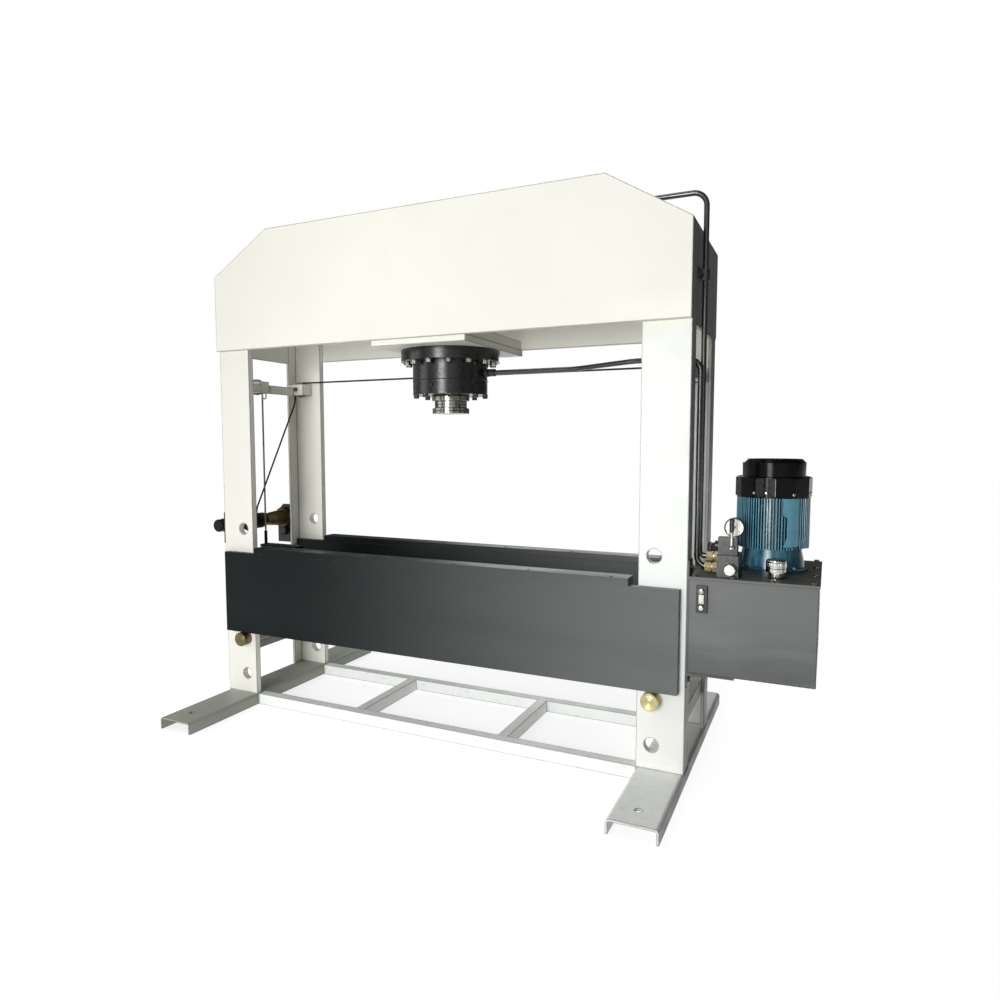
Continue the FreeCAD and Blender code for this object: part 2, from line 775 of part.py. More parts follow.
def make_ring_bolts(count, circle, phase, seat, shank, head, head_height, length):
    """Bolts that go up into the ring above seat, with their heads below it."""
    bolts = []
    for step in range(count):
        centre = around(phase + 360 / count * step, circle / 2, V(0, 0, seat))
        head_part = hexagon(head, centre - Z_DIR * head_height, Z_DIR, head_height)
        shank_part = cylinder(shank / 2, centre - Z_DIR * head_height, Z_DIR, head_height + length)
        bolts.append(head_part.fuse(shank_part).removeSplitter())
    return group(bolts)


# ---------------------------------------------------------------- bed
def make_bed_plate(at_rear):
    """The front plate rests on the pins' collars, the rear plate on their shanks."""
    pin_radius = (pin_diameter if at_rear else pin_collar_diameter) / 2
    y0 = bed_rear_front if at_rear else bed_front_front
    return box(-bed_half_length, bed_half_length, y0, y0 + bed_plate_thickness,
               pin_z + pin_radius + pin_rest_gap, bed_top)


def make_spacers():
    """Plates across the bed; the end ones carry the lugs that the ropes lift."""
    low = bed_top - spacer_height
    high = bed_top - spacer_drop
    end_plate = box(end_spacer_x - spacer_thickness, end_spacer_x, bed_front_back, bed_rear_front, low, high)
    pieces = []
    for side, lug_y, fall_x in ((-1, front_rope_y, -left_fall_x), (1, rear_rope_y, rope_fall_offset)):
        lug_y1 = min(lug_y + lug_width / 2, bed_rear_front)
        lug = box(end_spacer_x - spacer_thickness, fall_x + lug_thickness,
                  lug_y - lug_width / 2, lug_y1, lug_top - lug_thickness, lug_top)
        post = box(end_spacer_x - spacer_thickness, end_spacer_x, lug_y - lug_width / 2, lug_y1,
                   high, lug_top)
        lug_bottom = lug_top - lug_thickness
        knee = [(end_spacer_x, lug_bottom), (fall_x, lug_bottom), (end_spacer_x, low)]
        rib = plate_xz(knee, lug_y - cheek_thickness / 2, lug_y + cheek_thickness / 2)
        socket = cylinder(socket_diameter / 2, V(fall_x, lug_y, lug_top), Z_DIR, socket_height)
        piece = union([end_plate, lug, post, rib, socket])
        pieces.append(piece if side > 0 else mirrored_x(piece))
    for middle in (-inner_spacer_offset, inner_spacer_offset):
        pieces.append(box(middle - spacer_thickness / 2, middle + spacer_thickness / 2,
                          bed_front_back, bed_rear_front, low, high))
    return group(pieces)


def bar_screw_places():
    reach = bar_half_length - bar_screw_end
    places = []
    for plate_front in (bed_front_front, bed_rear_front):
        for step in range(bar_screw_count):
            x = -reach + 2 * reach * step / (bar_screw_count - 1)
            places.append(V(x, plate_front + bed_plate_thickness / 2, bed_top + guide_bar_height))
    return places


def make_guide_bars():
    bars = []
    for plate_front in (bed_front_front, bed_rear_front):
        bar = box(-bar_half_length, bar_half_length, plate_front, plate_front + guide_bar_depth,
                  bed_top, bed_top + guide_bar_height)
        for place in bar_screw_places():
            if abs(place.y - plate_front) < bed_plate_thickness:
                recess = cylinder(bar_screw_diameter / 2 + bolt_hole_clearance,
                                  place - Z_DIR * bar_screw_head_height, Z_DIR, bar_screw_head_height)
                bar = bar.cut(recess)
        bars.append(bar)
    return group(bars)


def make_bar_screws():
    """Screw heads in the recesses of the guide bars."""
    screws = []
    for place in bar_screw_places():
        head = cylinder(bar_screw_diameter / 2, place - Z_DIR * bar_screw_head_height, Z_DIR,
                        bar_screw_head_height - bar_screw_sink)
        socket = hexagon(bar_screw_diameter / 2, place - Z_DIR * bar_screw_head_height / 2, Z_DIR,
                         bar_screw_head_height)
        screws.append(head.cut(socket))
    return group(screws)


def make_pin(side):
    """Long pin through both webs, with a collar under the front bed plate and a grooved head."""
    shank = pin_diameter / 2
    collar = pin_collar_diameter / 2
    collar_start = pin_head_length + pin_groove_width
    collar_end = collar_start + bed_plate_thickness + bed_web_gap - pin_collar_gap
    total = collar_end + pin_collar_gap + frame_depth + pin_tail
    outline = [(0, 0), (collar - pin_head_chamfer, 0), (collar, pin_head_chamfer), (collar, pin_head_length),
               (shank, pin_head_length), (shank, collar_start), (collar, collar_start), (collar, collar_end),
               (shank, collar_end), (shank, total - pin_tail_chamfer), (shank - pin_tail_chamfer, total),
               (0, total)]
    head_front = front_y - pin_collar_gap - collar_end
    return turned(outline, V(side * pin_x, head_front, pin_z), Y_DIR)


# ---------------------------------------------------------------- hoist
def make_pulley(x, y):
    """Grooved wheel on a cross axle along Y."""
    rim = pulley_pitch_radius + pulley_rim
    half = pulley_width / 2
    wheel = cylinder(rim, V(x, y - half, pulley_height), Y_DIR, pulley_width)
    groove = Part.makeTorus(pulley_pitch_radius, rope_radius + rope_gap, V(x, y, pulley_height), Y_DIR)
    mouth = rope_radius + rope_gap
    flare = mouth + groove_flare
    outline = [(pulley_pitch_radius, -mouth), (rim, -flare), (rim, flare), (pulley_pitch_radius, mouth)]
    bore = cylinder(pulley_axle_diameter / 2 + axle_clearance, V(x, y - half, pulley_height), Y_DIR,
                    pulley_width)
    return wheel.cut(groove).cut(turned(outline, V(x, y, pulley_height), Y_DIR)).cut(bore)


def make_axle(x, y):
    """Bolt through both cheeks with a head in front and a nut behind."""
    reach = cheek_gap / 2 + cheek_thickness
    shank = cylinder(pulley_axle_diameter / 2, V(x, y - reach, pulley_height), Y_DIR, 2 * reach)
    head = cylinder(axle_head_diameter / 2, V(x, y - reach - axle_head_length, pulley_height), Y_DIR,
                    axle_head_length)
    nut = hexagon(axle_nut, V(x, y + reach, pulley_height), Y_DIR, axle_head_length)
    return union([shank, head, nut])


def cheek_pair(x0, x1, y):
    """Two plates on either side of a pulley in the plane y."""
    gap = cheek_gap / 2
    low = pulley_beam_bottom
    front = box(x0, x1, y - gap - cheek_thickness, y - gap, low, low + cheek_height)
    back = box(x0, x1, y + gap, y + gap + cheek_thickness, low, low + cheek_height)
    return [front, back]


def rear_pulley_holder():
    """Right-hand holder on the rear web: two cheeks, an outer plate and a foot."""
    gap = cheek_gap / 2
    reach = pulley_pitch_radius + pulley_rim + pulley_side_gap
    outer = rope_fall_offset + rope_radius + 2 * cheek_thickness
    low = pulley_beam_bottom
    plates = cheek_pair(rear_pulley_x - reach, outer, rear_rope_y)
    plates.append(box(outer - cheek_thickness, outer, rear_rope_y - gap, rear_rope_y + gap,
                      low, low + cheek_height))
    plates.append(box(outer - 3 * cheek_thickness, outer, rear_rope_y + gap + cheek_thickness, rear_web_front,
                      low, low + cheek_height))
    return plates


def beam_bar(side_x, y0, y1):
    """Stretch of the pulley beam between two places along Y."""
    half = pulley_beam_thickness / 2
    low = pulley_beam_bottom
    return box(side_x - half, side_x + half, y0, y1, low, low + pulley_beam_height)


def make_left_pulley_beam():
    """Bar below the beam on the left, with the front pulley's housing and the rear holder."""
    gap = cheek_gap / 2 + cheek_thickness
    low = pulley_beam_bottom
    inner_x = left_fall_x + rope_radius + cheek_thickness + pulley_side_gap
    outer_x = front_pulley_x - pulley_pitch_radius - pulley_rim - pulley_side_gap
    housing = cheek_pair(outer_x, inner_x, front_rope_y)
    housing.append(box(inner_x - cheek_thickness, inner_x, front_rope_y - gap, front_rope_y + gap,
                       low, low + cheek_height))
    front_bar = beam_bar(-rope_fall_offset, front_web_back, front_rope_y - gap)
    rear_bar = beam_bar(-rope_fall_offset, front_rope_y + gap, rear_rope_y - gap)
    keeper_path = [V(inner_x - keeper_wire / 2, front_rope_y - keeper_width / 2, low + keeper_wire),
                   V(inner_x - keeper_wire / 2, front_rope_y - keeper_width / 2, low - keeper_drop),
                   V(inner_x - keeper_wire / 2, front_rope_y + keeper_width / 2, low - keeper_drop),
                   V(inner_x - keeper_wire / 2, front_rope_y + keeper_width / 2, low + keeper_wire)]
    keeper = tube(bent_path(keeper_path, [keeper_bend] * 2), keeper_wire)
    holder = [mirrored_x(plate) for plate in rear_pulley_holder()]
    beam = union(housing + [front_bar, rear_bar, keeper] + holder)
    return cut_axle_holes(beam, [(front_pulley_x, front_rope_y), (-rear_pulley_x, rear_rope_y)])


def make_right_pulley_beam():
    gap = cheek_gap / 2 + cheek_thickness
    bar = beam_bar(rope_fall_offset, front_web_back, rear_rope_y - gap)
    beam = union([bar] + rear_pulley_holder())
    return cut_axle_holes(beam, [(rear_pulley_x, rear_rope_y)])


def cut_axle_holes(beam, places):
    """Holes for the pulley axles, and room for their heads and nuts."""
    reach = cheek_gap / 2 + cheek_thickness
    for x, y in places:
        beam = beam.cut(cylinder(pulley_axle_diameter / 2, V(x, y - reach, pulley_height), Y_DIR, 2 * reach))
        for y0 in (y - reach - axle_head_length - axle_spot, y + reach):
            beam = beam.cut(cylinder(axle_head_diameter / 2 + axle_spot, V(x, y0, pulley_height), Y_DIR,
                                     axle_head_length + axle_spot))
    return beam


def make_left_rope():
    """From the drum straight up, over the front pulley, to where it starts to hang."""
    top = pulley_height + pulley_pitch_radius
    route = [V(drum_x + winding_radius, front_rope_y, drum_height),
             V(drum_x + winding_radius, front_rope_y, top),
             V(left_fall_x, front_rope_y, top),
             V(left_fall_x, front_rope_y, pulley_height)]
    winding = drum_winding(front_rope_y)
    print("least gap of the left rope's turns: %.2f mm" % least_gap(winding))
    return tube(winding + bent_path(route, [pulley_pitch_radius] * 2), rope_diameter)


def make_cross_rope():
    """From the drum up to the left rear pulley, across behind the cylinder, over the right one."""
    top = pulley_height + pulley_pitch_radius
    route = [V(drum_x + winding_radius, cross_rope_y, drum_height),
             V(drum_x + winding_radius, cross_rope_y, drum_height + cross_rope_easing),
             V(-rope_fall_offset, rear_rope_y, pulley_height - cross_rope_easing),
             V(-rope_fall_offset, rear_rope_y, top),
             V(rope_fall_offset, rear_rope_y, top),
             V(rope_fall_offset, rear_rope_y, pulley_height)]
    radii = [2 * cross_rope_easing] * 2 + [pulley_pitch_radius] * 2
    winding = drum_winding(cross_rope_y)
    print("least gap of the cross rope's turns: %.2f mm" % least_gap(winding))
    return tube(winding + bent_path(route, radii), rope_diameter)


def make_rope_fall(x, y):
    """The part of a rope that hangs from its pulley to the bed's socket."""
    return cylinder(rope_radius, V(x, y, socket_top), Z_DIR, pulley_height - socket_top)


def make_hoist_brackets():
    """Bearing plates with feet on the outer flanges of the left uprights."""
    front_outer = -half_width - hoist_front_plate_reach
    rear_outer = drum_x - hoist_rear_plate_width / 2
    top = drum_height + hoist_plate_top
    foot_x = -half_width
    brackets = []
    for y0, foot_y0, foot_y1, outer, drop in (
            (hoist_front_y, front_y + foot_plate_inset, hoist_front_y + hoist_plate, front_outer,
             hoist_front_plate_drop),
            (hoist_rear_y, hoist_rear_y, rear_y - foot_plate_inset, rear_outer, hoist_rear_plate_drop)):
        low = drum_height - drop
        outline = [(foot_x, low), (outer, low), (outer, top - hoist_plate_corner),
                   (outer + hoist_plate_corner, top), (foot_x, top)]
        plate = plate_xz(outline, y0, y0 + hoist_plate)
        foot = box(foot_x - hoist_plate, foot_x, foot_y0, foot_y1, low, top)
        boss = cylinder(hoist_boss_diameter / 2, V(drum_x, y0, drum_height), Y_DIR, hoist_plate)
        bracket = union([plate, foot, boss])
        bore = cylinder(drum_shaft_diameter / 2 + shaft_clearance, V(drum_x, y0, drum_height), Y_DIR,
                        hoist_plate)
        brackets.append(bracket.cut(bore))
    pinion_bore = cylinder(crank_shaft_diameter / 2 + shaft_clearance, V(drum_x, hoist_rear_y, pinion_z),
                           Y_DIR, hoist_plate)
    brackets[1] = brackets[1].cut(pinion_bore)
    return group(brackets)


def gear_blank(teeth, x, z, y0, y1, phase):
    """Straight-flanked gear; phase turns it by a share of a tooth."""
    pitch_radius = gear_module * teeth / 2
    tip = pitch_radius + gear_addendum * gear_module
    root = pitch_radius - gear_dedendum * gear_module
    tooth = 2 * math.pi / teeth
    half_at_pitch = tooth / 4 - gear_backlash / 4 / pitch_radius
    widths = ((root, half_at_pitch * tooth_root_width), (tip, half_at_pitch * tooth_tip_width))
    points = []
    for step in range(teeth):
        middle = tooth * (step + phase)
        for radius, half in widths:
            points.append((middle - half, radius))
        for radius, half in reversed(widths):
            points.append((middle + half, radius))
    outline = [(x + radius * math.cos(angle), z + radius * math.sin(angle)) for angle, radius in points]
    return plate_xz(outline, y0, y1)


def make_drum():
    """Drum with a flange in front and a cone up to its gear, on its shaft, with a hub outside."""
    start = front_rope_y - rope_radius - drum_flange_margin - drum_flange_thickness
    last_turn = cross_rope_y + rope_turns * turn_pitch + rope_radius
    gear_front = gear_back_y - gear_face
    cone_start = last_turn + drum_bare_margin
    cone_end = cone_start + drum_cone_length
    shaft_start = hoist_front_y - hub_length - shaft_end_play
    shaft_end = hoist_rear_y + hoist_plate + shaft_overhang
    shaft = drum_shaft_diameter / 2
    drum = drum_diameter / 2
    flange = drum_flange_diameter / 2
    cone = drum_cone_diameter / 2
    hub = hub_diameter / 2
    outline = [(0, shaft_start), (hub - hub_chamfer, shaft_start), (hub, shaft_start + hub_chamfer),
               (hub, shaft_start + hub_length),
               (shaft, shaft_start + hub_length), (shaft, start), (flange, start),
               (flange, start + drum_flange_thickness), (drum, start + drum_flange_thickness),
               (drum, cone_start),
               (cone, cone_end), (cone, gear_front), (shaft, gear_front), (shaft, shaft_end), (0, shaft_end)]
    body = turned(outline, V(drum_x, 0, drum_height), Y_DIR)
    gear = gear_blank(gear_teeth, drum_x, drum_height, gear_front, gear_back_y, gear_phase)
    return union([body, gear])


def make_pinion():
    """Pinion on the crank's shaft; it meshes under the drum's gear."""
    gear_front = gear_back_y - gear_face
    pinion = gear_blank(pinion_teeth, drum_x, pinion_z, gear_front, gear_back_y, pinion_phase())
    end = rear_y + crank_gap + crank_arm_thickness
    shaft = cylinder(crank_shaft_diameter / 2, V(drum_x, gear_front, pinion_z), Y_DIR, end - gear_front)
    return union([pinion, shaft])


def pinion_phase():
    """Share of a tooth that puts a pinion gap where the gear's tooth points straight down."""
    gear_tooth = 2 * math.pi / gear_teeth
    at_mesh = (-math.pi / 2) / gear_tooth - gear_phase
    lag = at_mesh - round(at_mesh)
    pinion_tooth = 2 * math.pi / pinion_teeth
    straight_up = (math.pi / 2) / pinion_tooth
    return straight_up + 0.5 + lag


def make_crank():
    """Cranked handle: hub, flat arm hanging down and a grip to the back."""
    arm_front = rear_y + crank_gap
    grip_z = pinion_z - crank_arm_length
    hub = cylinder(crank_hub_diameter / 2, V(drum_x, arm_front, pinion_z), Y_DIR, crank_arm_thickness)
    arm = box(drum_x - crank_arm_width / 2, drum_x + crank_arm_width / 2, arm_front,
              arm_front + crank_arm_thickness, grip_z, pinion_z)
    end = cylinder(crank_arm_width / 2, V(drum_x, arm_front, grip_z), Y_DIR, crank_arm_thickness)
    grip = cylinder(grip_diameter / 2, V(drum_x, arm_front + crank_arm_thickness, grip_z), Y_DIR, grip_length)
    bore = cylinder(crank_shaft_diameter / 2, V(drum_x, arm_front, pinion_z), Y_DIR, crank_arm_thickness)
    return union([hub, arm, end, grip]).cut(bore)


# ---------------------------------------------------------------- power pack
def make_tank():
    """Box of folded sheet with an inward rim; the lid closes it."""
    y0 = -tank_depth / 2
    outer = box(tank_x, tank_x + tank_width, y0, y0 + tank_depth, tank_bottom_height, tank_top)
    inner = box(tank_x + tank_wall, tank_x + tank_width - tank_wall,
                y0 + tank_wall, y0 + tank_depth - tank_wall,
                tank_bottom_height + tank_wall, tank_top - tank_wall)
    mouth = box(tank_x + tank_rim, tank_x + tank_width - tank_rim, y0 + tank_rim, y0 + tank_depth - tank_rim,
                tank_top - tank_wall, tank_top)
    tank = outer.cut(inner).cut(mouth)
    for place in lid_bolt_places():
        tank = tank.cut(bolt_hole(place, -Z_DIR, lid_thickness + tank_wall))
    return tank


def lid_openings():
    """Holes in the lid: pump, filler, return filter and bolts."""
    holes = []
    for x, y, diameter in ((motor_x, motor_y, bell_diameter), (filler_x, filler_y, filler_plug_diameter),
                           (filter_x, filter_y, filter_spigot_diameter)):
        holes.append(cylinder(diameter / 2 + lid_hole_clearance, V(half_width + x, y, tank_top), Z_DIR,
                              lid_thickness))
    return holes + [bolt_hole(place, -Z_DIR, lid_thickness) for place in lid_bolt_places()]


def lid_bolt_places():
    y_reach = tank_depth / 2 - lid_bolt_inset
    x_reach = tank_width / 2 - lid_bolt_inset
    middle = tank_x + tank_width / 2
    places = []
    for x in (-x_reach, -x_reach / 3, x_reach / 3, x_reach):
        for y in (-y_reach, y_reach):
            places.append(V(middle + x, y, lid_top))
    for x in (-x_reach, x_reach):
        for y in (-y_reach / 3, y_reach / 3):
            places.append(V(middle + x, y, lid_top))
    return places


def make_lid():
    y0 = -tank_depth / 2 - lid_overhang
    lid = box(tank_x, tank_x + tank_width + lid_overhang, y0, -y0, tank_top, lid_top)
    for hole in lid_openings():
        lid = lid.cut(hole)
    return lid


def bracket_y_ranges():
    front = front_y + foot_plate_inset
    rear = rear_y - foot_plate_inset
    return ((front, front + bracket_width), (rear - bracket_width, rear))


def make_tank_brackets():
    """Flat bars on the right uprights with a leg under the tank."""
    brackets = []
    for y0, y1 in bracket_y_ranges():
        upright_part = box(half_width, half_width + bracket_thickness, y0, y1,
                           tank_bottom_height - bracket_below, lid_top + bracket_above)
        leg = box(half_width, half_width + bracket_reach, y0, y1, tank_bottom_height - bracket_leg,
                  tank_bottom_height)
        bracket = union([upright_part, leg])
        for place in bracket_bolt_places():
            bracket = bracket.cut(bolt_hole(place, -X_DIR, bracket_thickness))
        brackets.append(bracket)
    return group(brackets)


def hex_bolt(seat, direction):
    """Bolt with its washer on its seat, with direction pointing out of the head."""
    head = hexagon(pack_bolt_head, seat, direction, pack_bolt_head_height)
    washer = cylinder(pack_washer_diameter / 2, seat, direction, pack_washer_thickness)
    shank = cylinder(pack_bolt_shank / 2, seat, -direction, pack_bolt_length)
    return union([head, washer, shank])


def bolt_hole(seat, direction, depth):
    return cylinder(pack_bolt_shank / 2 + bolt_hole_clearance, seat, direction, depth)


def bracket_bolt_places():
    """Seats of the bolts that hold the tank's brackets to the right uprights."""
    low = tank_bottom_height - (bracket_below + bracket_leg) / 2
    high = lid_top + bracket_above / 2
    x = half_width + bracket_thickness
    return [V(x, (y0 + y1) / 2, z) for y0, y1 in bracket_y_ranges() for z in (low, high)]


def make_pack_bolts():
    bolts = [hex_bolt(place, Z_DIR) for place in lid_bolt_places()]
    bolts += [hex_bolt(place, X_DIR) for place in bracket_bolt_places()]
    return group(bolts)


def make_level_gauge():
    """Sight glass on the tank's front, with a round fitting at each end."""
    x = half_width + gauge_glass_x
    z = tank_top - gauge_glass_drop
    y = -tank_depth / 2
    half_w = gauge_glass_width / 2
    half_h = gauge_glass_height / 2
    body = box(x - half_w, x + half_w, y - gauge_glass_thickness, y, z - half_h, z + half_h)
    front = y - gauge_glass_thickness
    window = box(x - gauge_window_width / 2, x + gauge_window_width / 2, front, front + gauge_window_depth,
                 z - half_h + gauge_glass_width, z + half_h - gauge_glass_width)
    body = body.cut(window)
    ends = [cylinder(gauge_boss_diameter / 2, V(x, y, z + sign * (half_h - half_w)), -Y_DIR,
                     gauge_glass_thickness + gauge_boss_height) for sign in (-1, 1)]
    return union([body] + ends)


def make_filler_cap():
    """Breather cap on its neck, with a plug through the lid."""
    base = V(half_width + filler_x, filler_y, lid_top)
    cap = cylinder(filler_diameter / 2, base + Z_DIR * filler_neck_height, Z_DIR,
                   filler_height - filler_neck_height)
    top_edges = [edge for edge in cap.Edges if edge.BoundBox.ZMin > lid_top + filler_height / 2]
    cap = cap.makeFillet(filler_edge_radius, top_edges)
    neck = cylinder(filler_neck_diameter / 2, base, Z_DIR, filler_neck_height)
    plug = cylinder(filler_plug_diameter / 2, base - Z_DIR * lid_thickness, Z_DIR, lid_thickness)
    return union([cap, neck, plug])


def make_return_filter():
    base = V(half_width + filter_x, filter_y, lid_top)
    radius = filter_diameter / 2
    spigot = filter_spigot_diameter / 2
    flange = radius + filter_flange_width
    outline = [(0, -lid_thickness), (spigot, -lid_thickness), (spigot, 0), (flange, 0),
               (flange, filter_flange_height), (radius, filter_flange_height),
               (radius, filter_height - filter_top_chamfer), (radius - filter_top_chamfer, filter_height),
               (0, filter_height)]
    return turned(outline, base)


def make_motor_body():
    """Finned housing with its foot flange and neck, bored for the rotor."""
    base = V(motor_axis_x, motor_y, lid_top)
    neck_top = motor_flange_thickness + motor_neck_height
    top = neck_top + motor_body_height
    core = motor_core_diameter / 2
    rotor_bore = rotor_diameter / 2 + motor_air_gap
    shaft_bore = motor_shaft_diameter / 2 + shaft_clearance
    outline = [(shaft_bore, 0), (motor_flange_diameter / 2, 0),
               (motor_flange_diameter / 2, motor_flange_thickness),
               (motor_neck_diameter / 2 + neck_flare, motor_flange_thickness),
               (motor_neck_diameter / 2, neck_top), (core, neck_top), (core, top), (shaft_bore, top),
               (shaft_bore, top - motor_end_wall), (rotor_bore, top - motor_end_wall),
               (rotor_bore, neck_top + motor_end_wall), (shaft_bore, neck_top + motor_end_wall)]
    body = turned(outline, base)
    fins = []
    for step in range(fin_count):
        angle = 360 / fin_count * step
        if free_of(angle, motor_pad_angle, motor_pad_width) and free_of(angle, 180, terminal_box_width):
            fin = box(-fin_thickness / 2, fin_thickness / 2, -fin_diameter / 2, -core + fin_root,
                      neck_top, top)
            fins.append(placed(fin, angle, base))
    chord_root = core - math.sqrt(core ** 2 - (motor_pad_width / 2) ** 2) + fin_root
    pad = box(-motor_pad_width / 2, motor_pad_width / 2,
              motor_pad_step - fin_diameter / 2, chord_root - core,
              neck_top + motor_end_wall, top)
    box_root = core - math.sqrt(core ** 2 - (terminal_box_width / 2) ** 2) + fin_root
    box_bottom = neck_top + (motor_body_height - terminal_box_height) / 2
    terminal_box = box(-terminal_box_width / 2, terminal_box_width / 2,
                       core - box_root, core + terminal_box_depth,
                       box_bottom, box_bottom + terminal_box_height)
    gland = cylinder(terminal_gland_diameter / 2,
                     V(terminal_box_width / 2, core + terminal_box_depth / 2,
                       box_bottom + terminal_gland_height),
                     X_DIR, terminal_gland_length)
    return union([body, placed(pad, motor_pad_angle, base), placed(terminal_box, 0, base),
                  placed(gland, 0, base)] + fins)


def free_of(angle, middle, width):
    """Whether a fin at angle stands clear of a pad of the given width whose middle is at middle."""
    apart = abs((angle - middle + 180) % 360 - 180)
    return apart > math.degrees(math.asin(width / fin_diameter)) + 180 / fin_count


def placed(shape, angle, base):
    """The shape turned about the Z axis and moved to base."""
    shape.rotate(V(0, 0, 0), Z_DIR, angle)
    shape.translate(base)
    return shape


def make_fan_cover():
    """Stepped cowl with air slots in its top."""
    base = V(motor_axis_x, motor_y, motor_body_top)
    low = cowl_diameter / 2
    high = cowl_top_diameter / 2
    total = cowl_height + cowl_top_height
    wall = cowl_wall
    outline = [(low - wall, 0), (low, 0), (low, cowl_height), (high, cowl_height),
               (high, total - cowl_chamfer), (high - cowl_chamfer, total), (0, total), (0, total - wall),
               (high - cowl_chamfer - wall, total - wall),
               (high - wall, total - cowl_chamfer - wall), (high - wall, cowl_height - wall),
               (low - wall, cowl_height - wall)]
    cover = turned(outline, base)
    lugs = []
    for step in range(cowl_lug_count):
        lug = box(-cowl_lug_width / 2, cowl_lug_width / 2,
                  wall / 2 - low, cowl_lug_root - motor_core_diameter / 2,
                  0, cowl_lug_height)
        lugs.append(placed(lug, 360 / cowl_lug_count * (step + 0.5), base))
    slots = []
    for step in range(cowl_slot_count):
        slot = box(-cowl_slot_width / 2, cowl_slot_width / 2, cowl_chamfer + cowl_slot_margin - high,
                   -cowl_slot_start, total - 2 * wall, total + wall)
        slots.append(placed(slot, 360 / cowl_slot_count * step, base))
    return union([cover] + lugs).cut(group(slots))


def make_motor_shaft():
    """Rotor on its shaft, with the fan above and the coupling to the pump below."""
    base = V(motor_axis_x, motor_y, lid_top)
    neck_top = motor_flange_thickness + motor_neck_height
    top = neck_top + motor_body_height
    shaft = motor_shaft_diameter / 2
    rotor = rotor_diameter / 2
    coupling = coupling_diameter / 2
    fan_hub = fan_hub_diameter / 2
    fan_bottom = top + fan_hub_height
    fan_top = top + cowl_height - fan_gap
    rotor_bottom = neck_top + motor_end_wall + rotor_end_gap
    rotor_top = top - motor_end_wall - rotor_end_gap
    outline = [(0, -coupling_bottom), (coupling, -coupling_bottom), (coupling, -coupling_top),
               (shaft, -coupling_top), (shaft, rotor_bottom), (rotor, rotor_bottom), (rotor, rotor_top),
               (shaft, rotor_top), (shaft, fan_bottom), (fan_hub, fan_bottom), (fan_hub, fan_top),
               (0, fan_top)]
    shaft_part = turned(outline, base)
    blades = []
    for step in range(fan_blade_count):
        blade = box(-fan_blade_thickness / 2, fan_blade_thickness / 2, fan_hub - fan_blade_thickness,
                    cowl_top_diameter / 2 - fan_gap, fan_bottom, fan_top)
        blades.append(placed(blade, 360 / fan_blade_count * step, base))
    return union([shaft_part] + blades)


def make_gear_pump():
    """Pump under its bell housing, with the suction pipe down to near the tank's floor."""
    base = V(motor_axis_x, motor_y, lid_top)
    bell = bell_diameter / 2
    floor = bell_wall - bell_length
    outline = [(bell - bell_wall, 0), (bell, 0), (bell, -bell_length), (0, -bell_length), (0, floor),
               (bell - bell_wall, floor)]
    housing = turned(outline, base)
    pump = box(-pump_width / 2, pump_width / 2, -pump_depth / 2, pump_depth / 2, -bell_length - pump_height,
               -bell_length)
    pump.translate(base)
    end = tank_bottom_height + tank_wall + suction_floor_gap
    suction = cylinder(suction_diameter / 2, V(motor_axis_x, motor_y, end), Z_DIR,
                       lid_top - bell_length - pump_height - end)
    return union([housing, pump, suction])


def make_valve_block():
    block = box(block_left, block_left + block_width, block_y, block_y + block_depth, lid_top, block_top)
    knob_foot = V(block_left + knob_x, block_y, lid_top + knob_height)
    stem = cylinder(knob_stem_diameter / 2, knob_foot, -Y_DIR, knob_gap)
    collar = cylinder(knob_collar_diameter / 2, knob_foot, -Y_DIR, knob_collar_thickness)
    return union([block, stem, collar])


def lever_pivot():
    return V(block_left + lever_pivot_x, block_y, block_top + lever_pivot_height)


def make_lever_valve():
    """Body of the manual spool valve with its end caps."""
    y0 = block_y + lever_boss_length + 2 * lever_boss_gap
    body = box(block_left, block_left + lever_valve_width, y0, y0 + lever_valve_depth, block_top,
               block_top + lever_valve_height)
    middle_z = block_top + lever_valve_height / 2
    cap = cylinder(lever_valve_cap_diameter / 2, V(block_left, y0 + lever_valve_depth / 2, middle_z), -X_DIR,
                   lever_valve_cap_length)
    pivot = lever_pivot()
    trunnion = cylinder(trunnion_diameter / 2, V(pivot.x, y0, pivot.z), -Y_DIR,
                        lever_boss_length + lever_boss_gap)
    return union([body, cap, trunnion])


def make_valve_lever():
    """Hand lever with its boss on the valve's trunnion."""
    pivot = lever_pivot()
    boss = cylinder(lever_boss_diameter / 2, pivot + Y_DIR * lever_boss_gap, Y_DIR, lever_boss_length)
    bore = cylinder(trunnion_diameter / 2 + lever_clearance, pivot, Y_DIR,
                    lever_boss_length + 2 * lever_boss_gap)
    rod_start = pivot + V(0, lever_boss_gap + lever_boss_length / 2, trunnion_diameter / 2 + lever_boss_gap)
    rod = cylinder(lever_diameter / 2, rod_start, Z_DIR, lever_length - lever_grip_length)
    grip = cylinder(lever_grip_diameter / 2, rod_start + Z_DIR * (lever_length - lever_grip_length), Z_DIR,
                    lever_grip_length)
    grip = grip.makeFillet(lever_grip_radius, [edge for edge in grip.Edges if edge.Closed])
    return union([boss, rod, grip]).cut(bore)


def knob_start():
    return V(block_left + knob_x, block_y - knob_gap, lid_top + knob_height)


def make_relief_knob():
    knob = cylinder(knob_diameter / 2, knob_start(), -Y_DIR, knob_length)
    middle_y = knob_start().y - knob_length / 2
    front = [edge for edge in knob.Edges if edge.Closed and edge.BoundBox.YMax < middle_y]
    return knob.makeFillet(knob_edge_radius, front)


def gauge_centre():
    return V(block_left + gauge_x, block_y + gauge_setback, block_top + pressure_gauge_height)


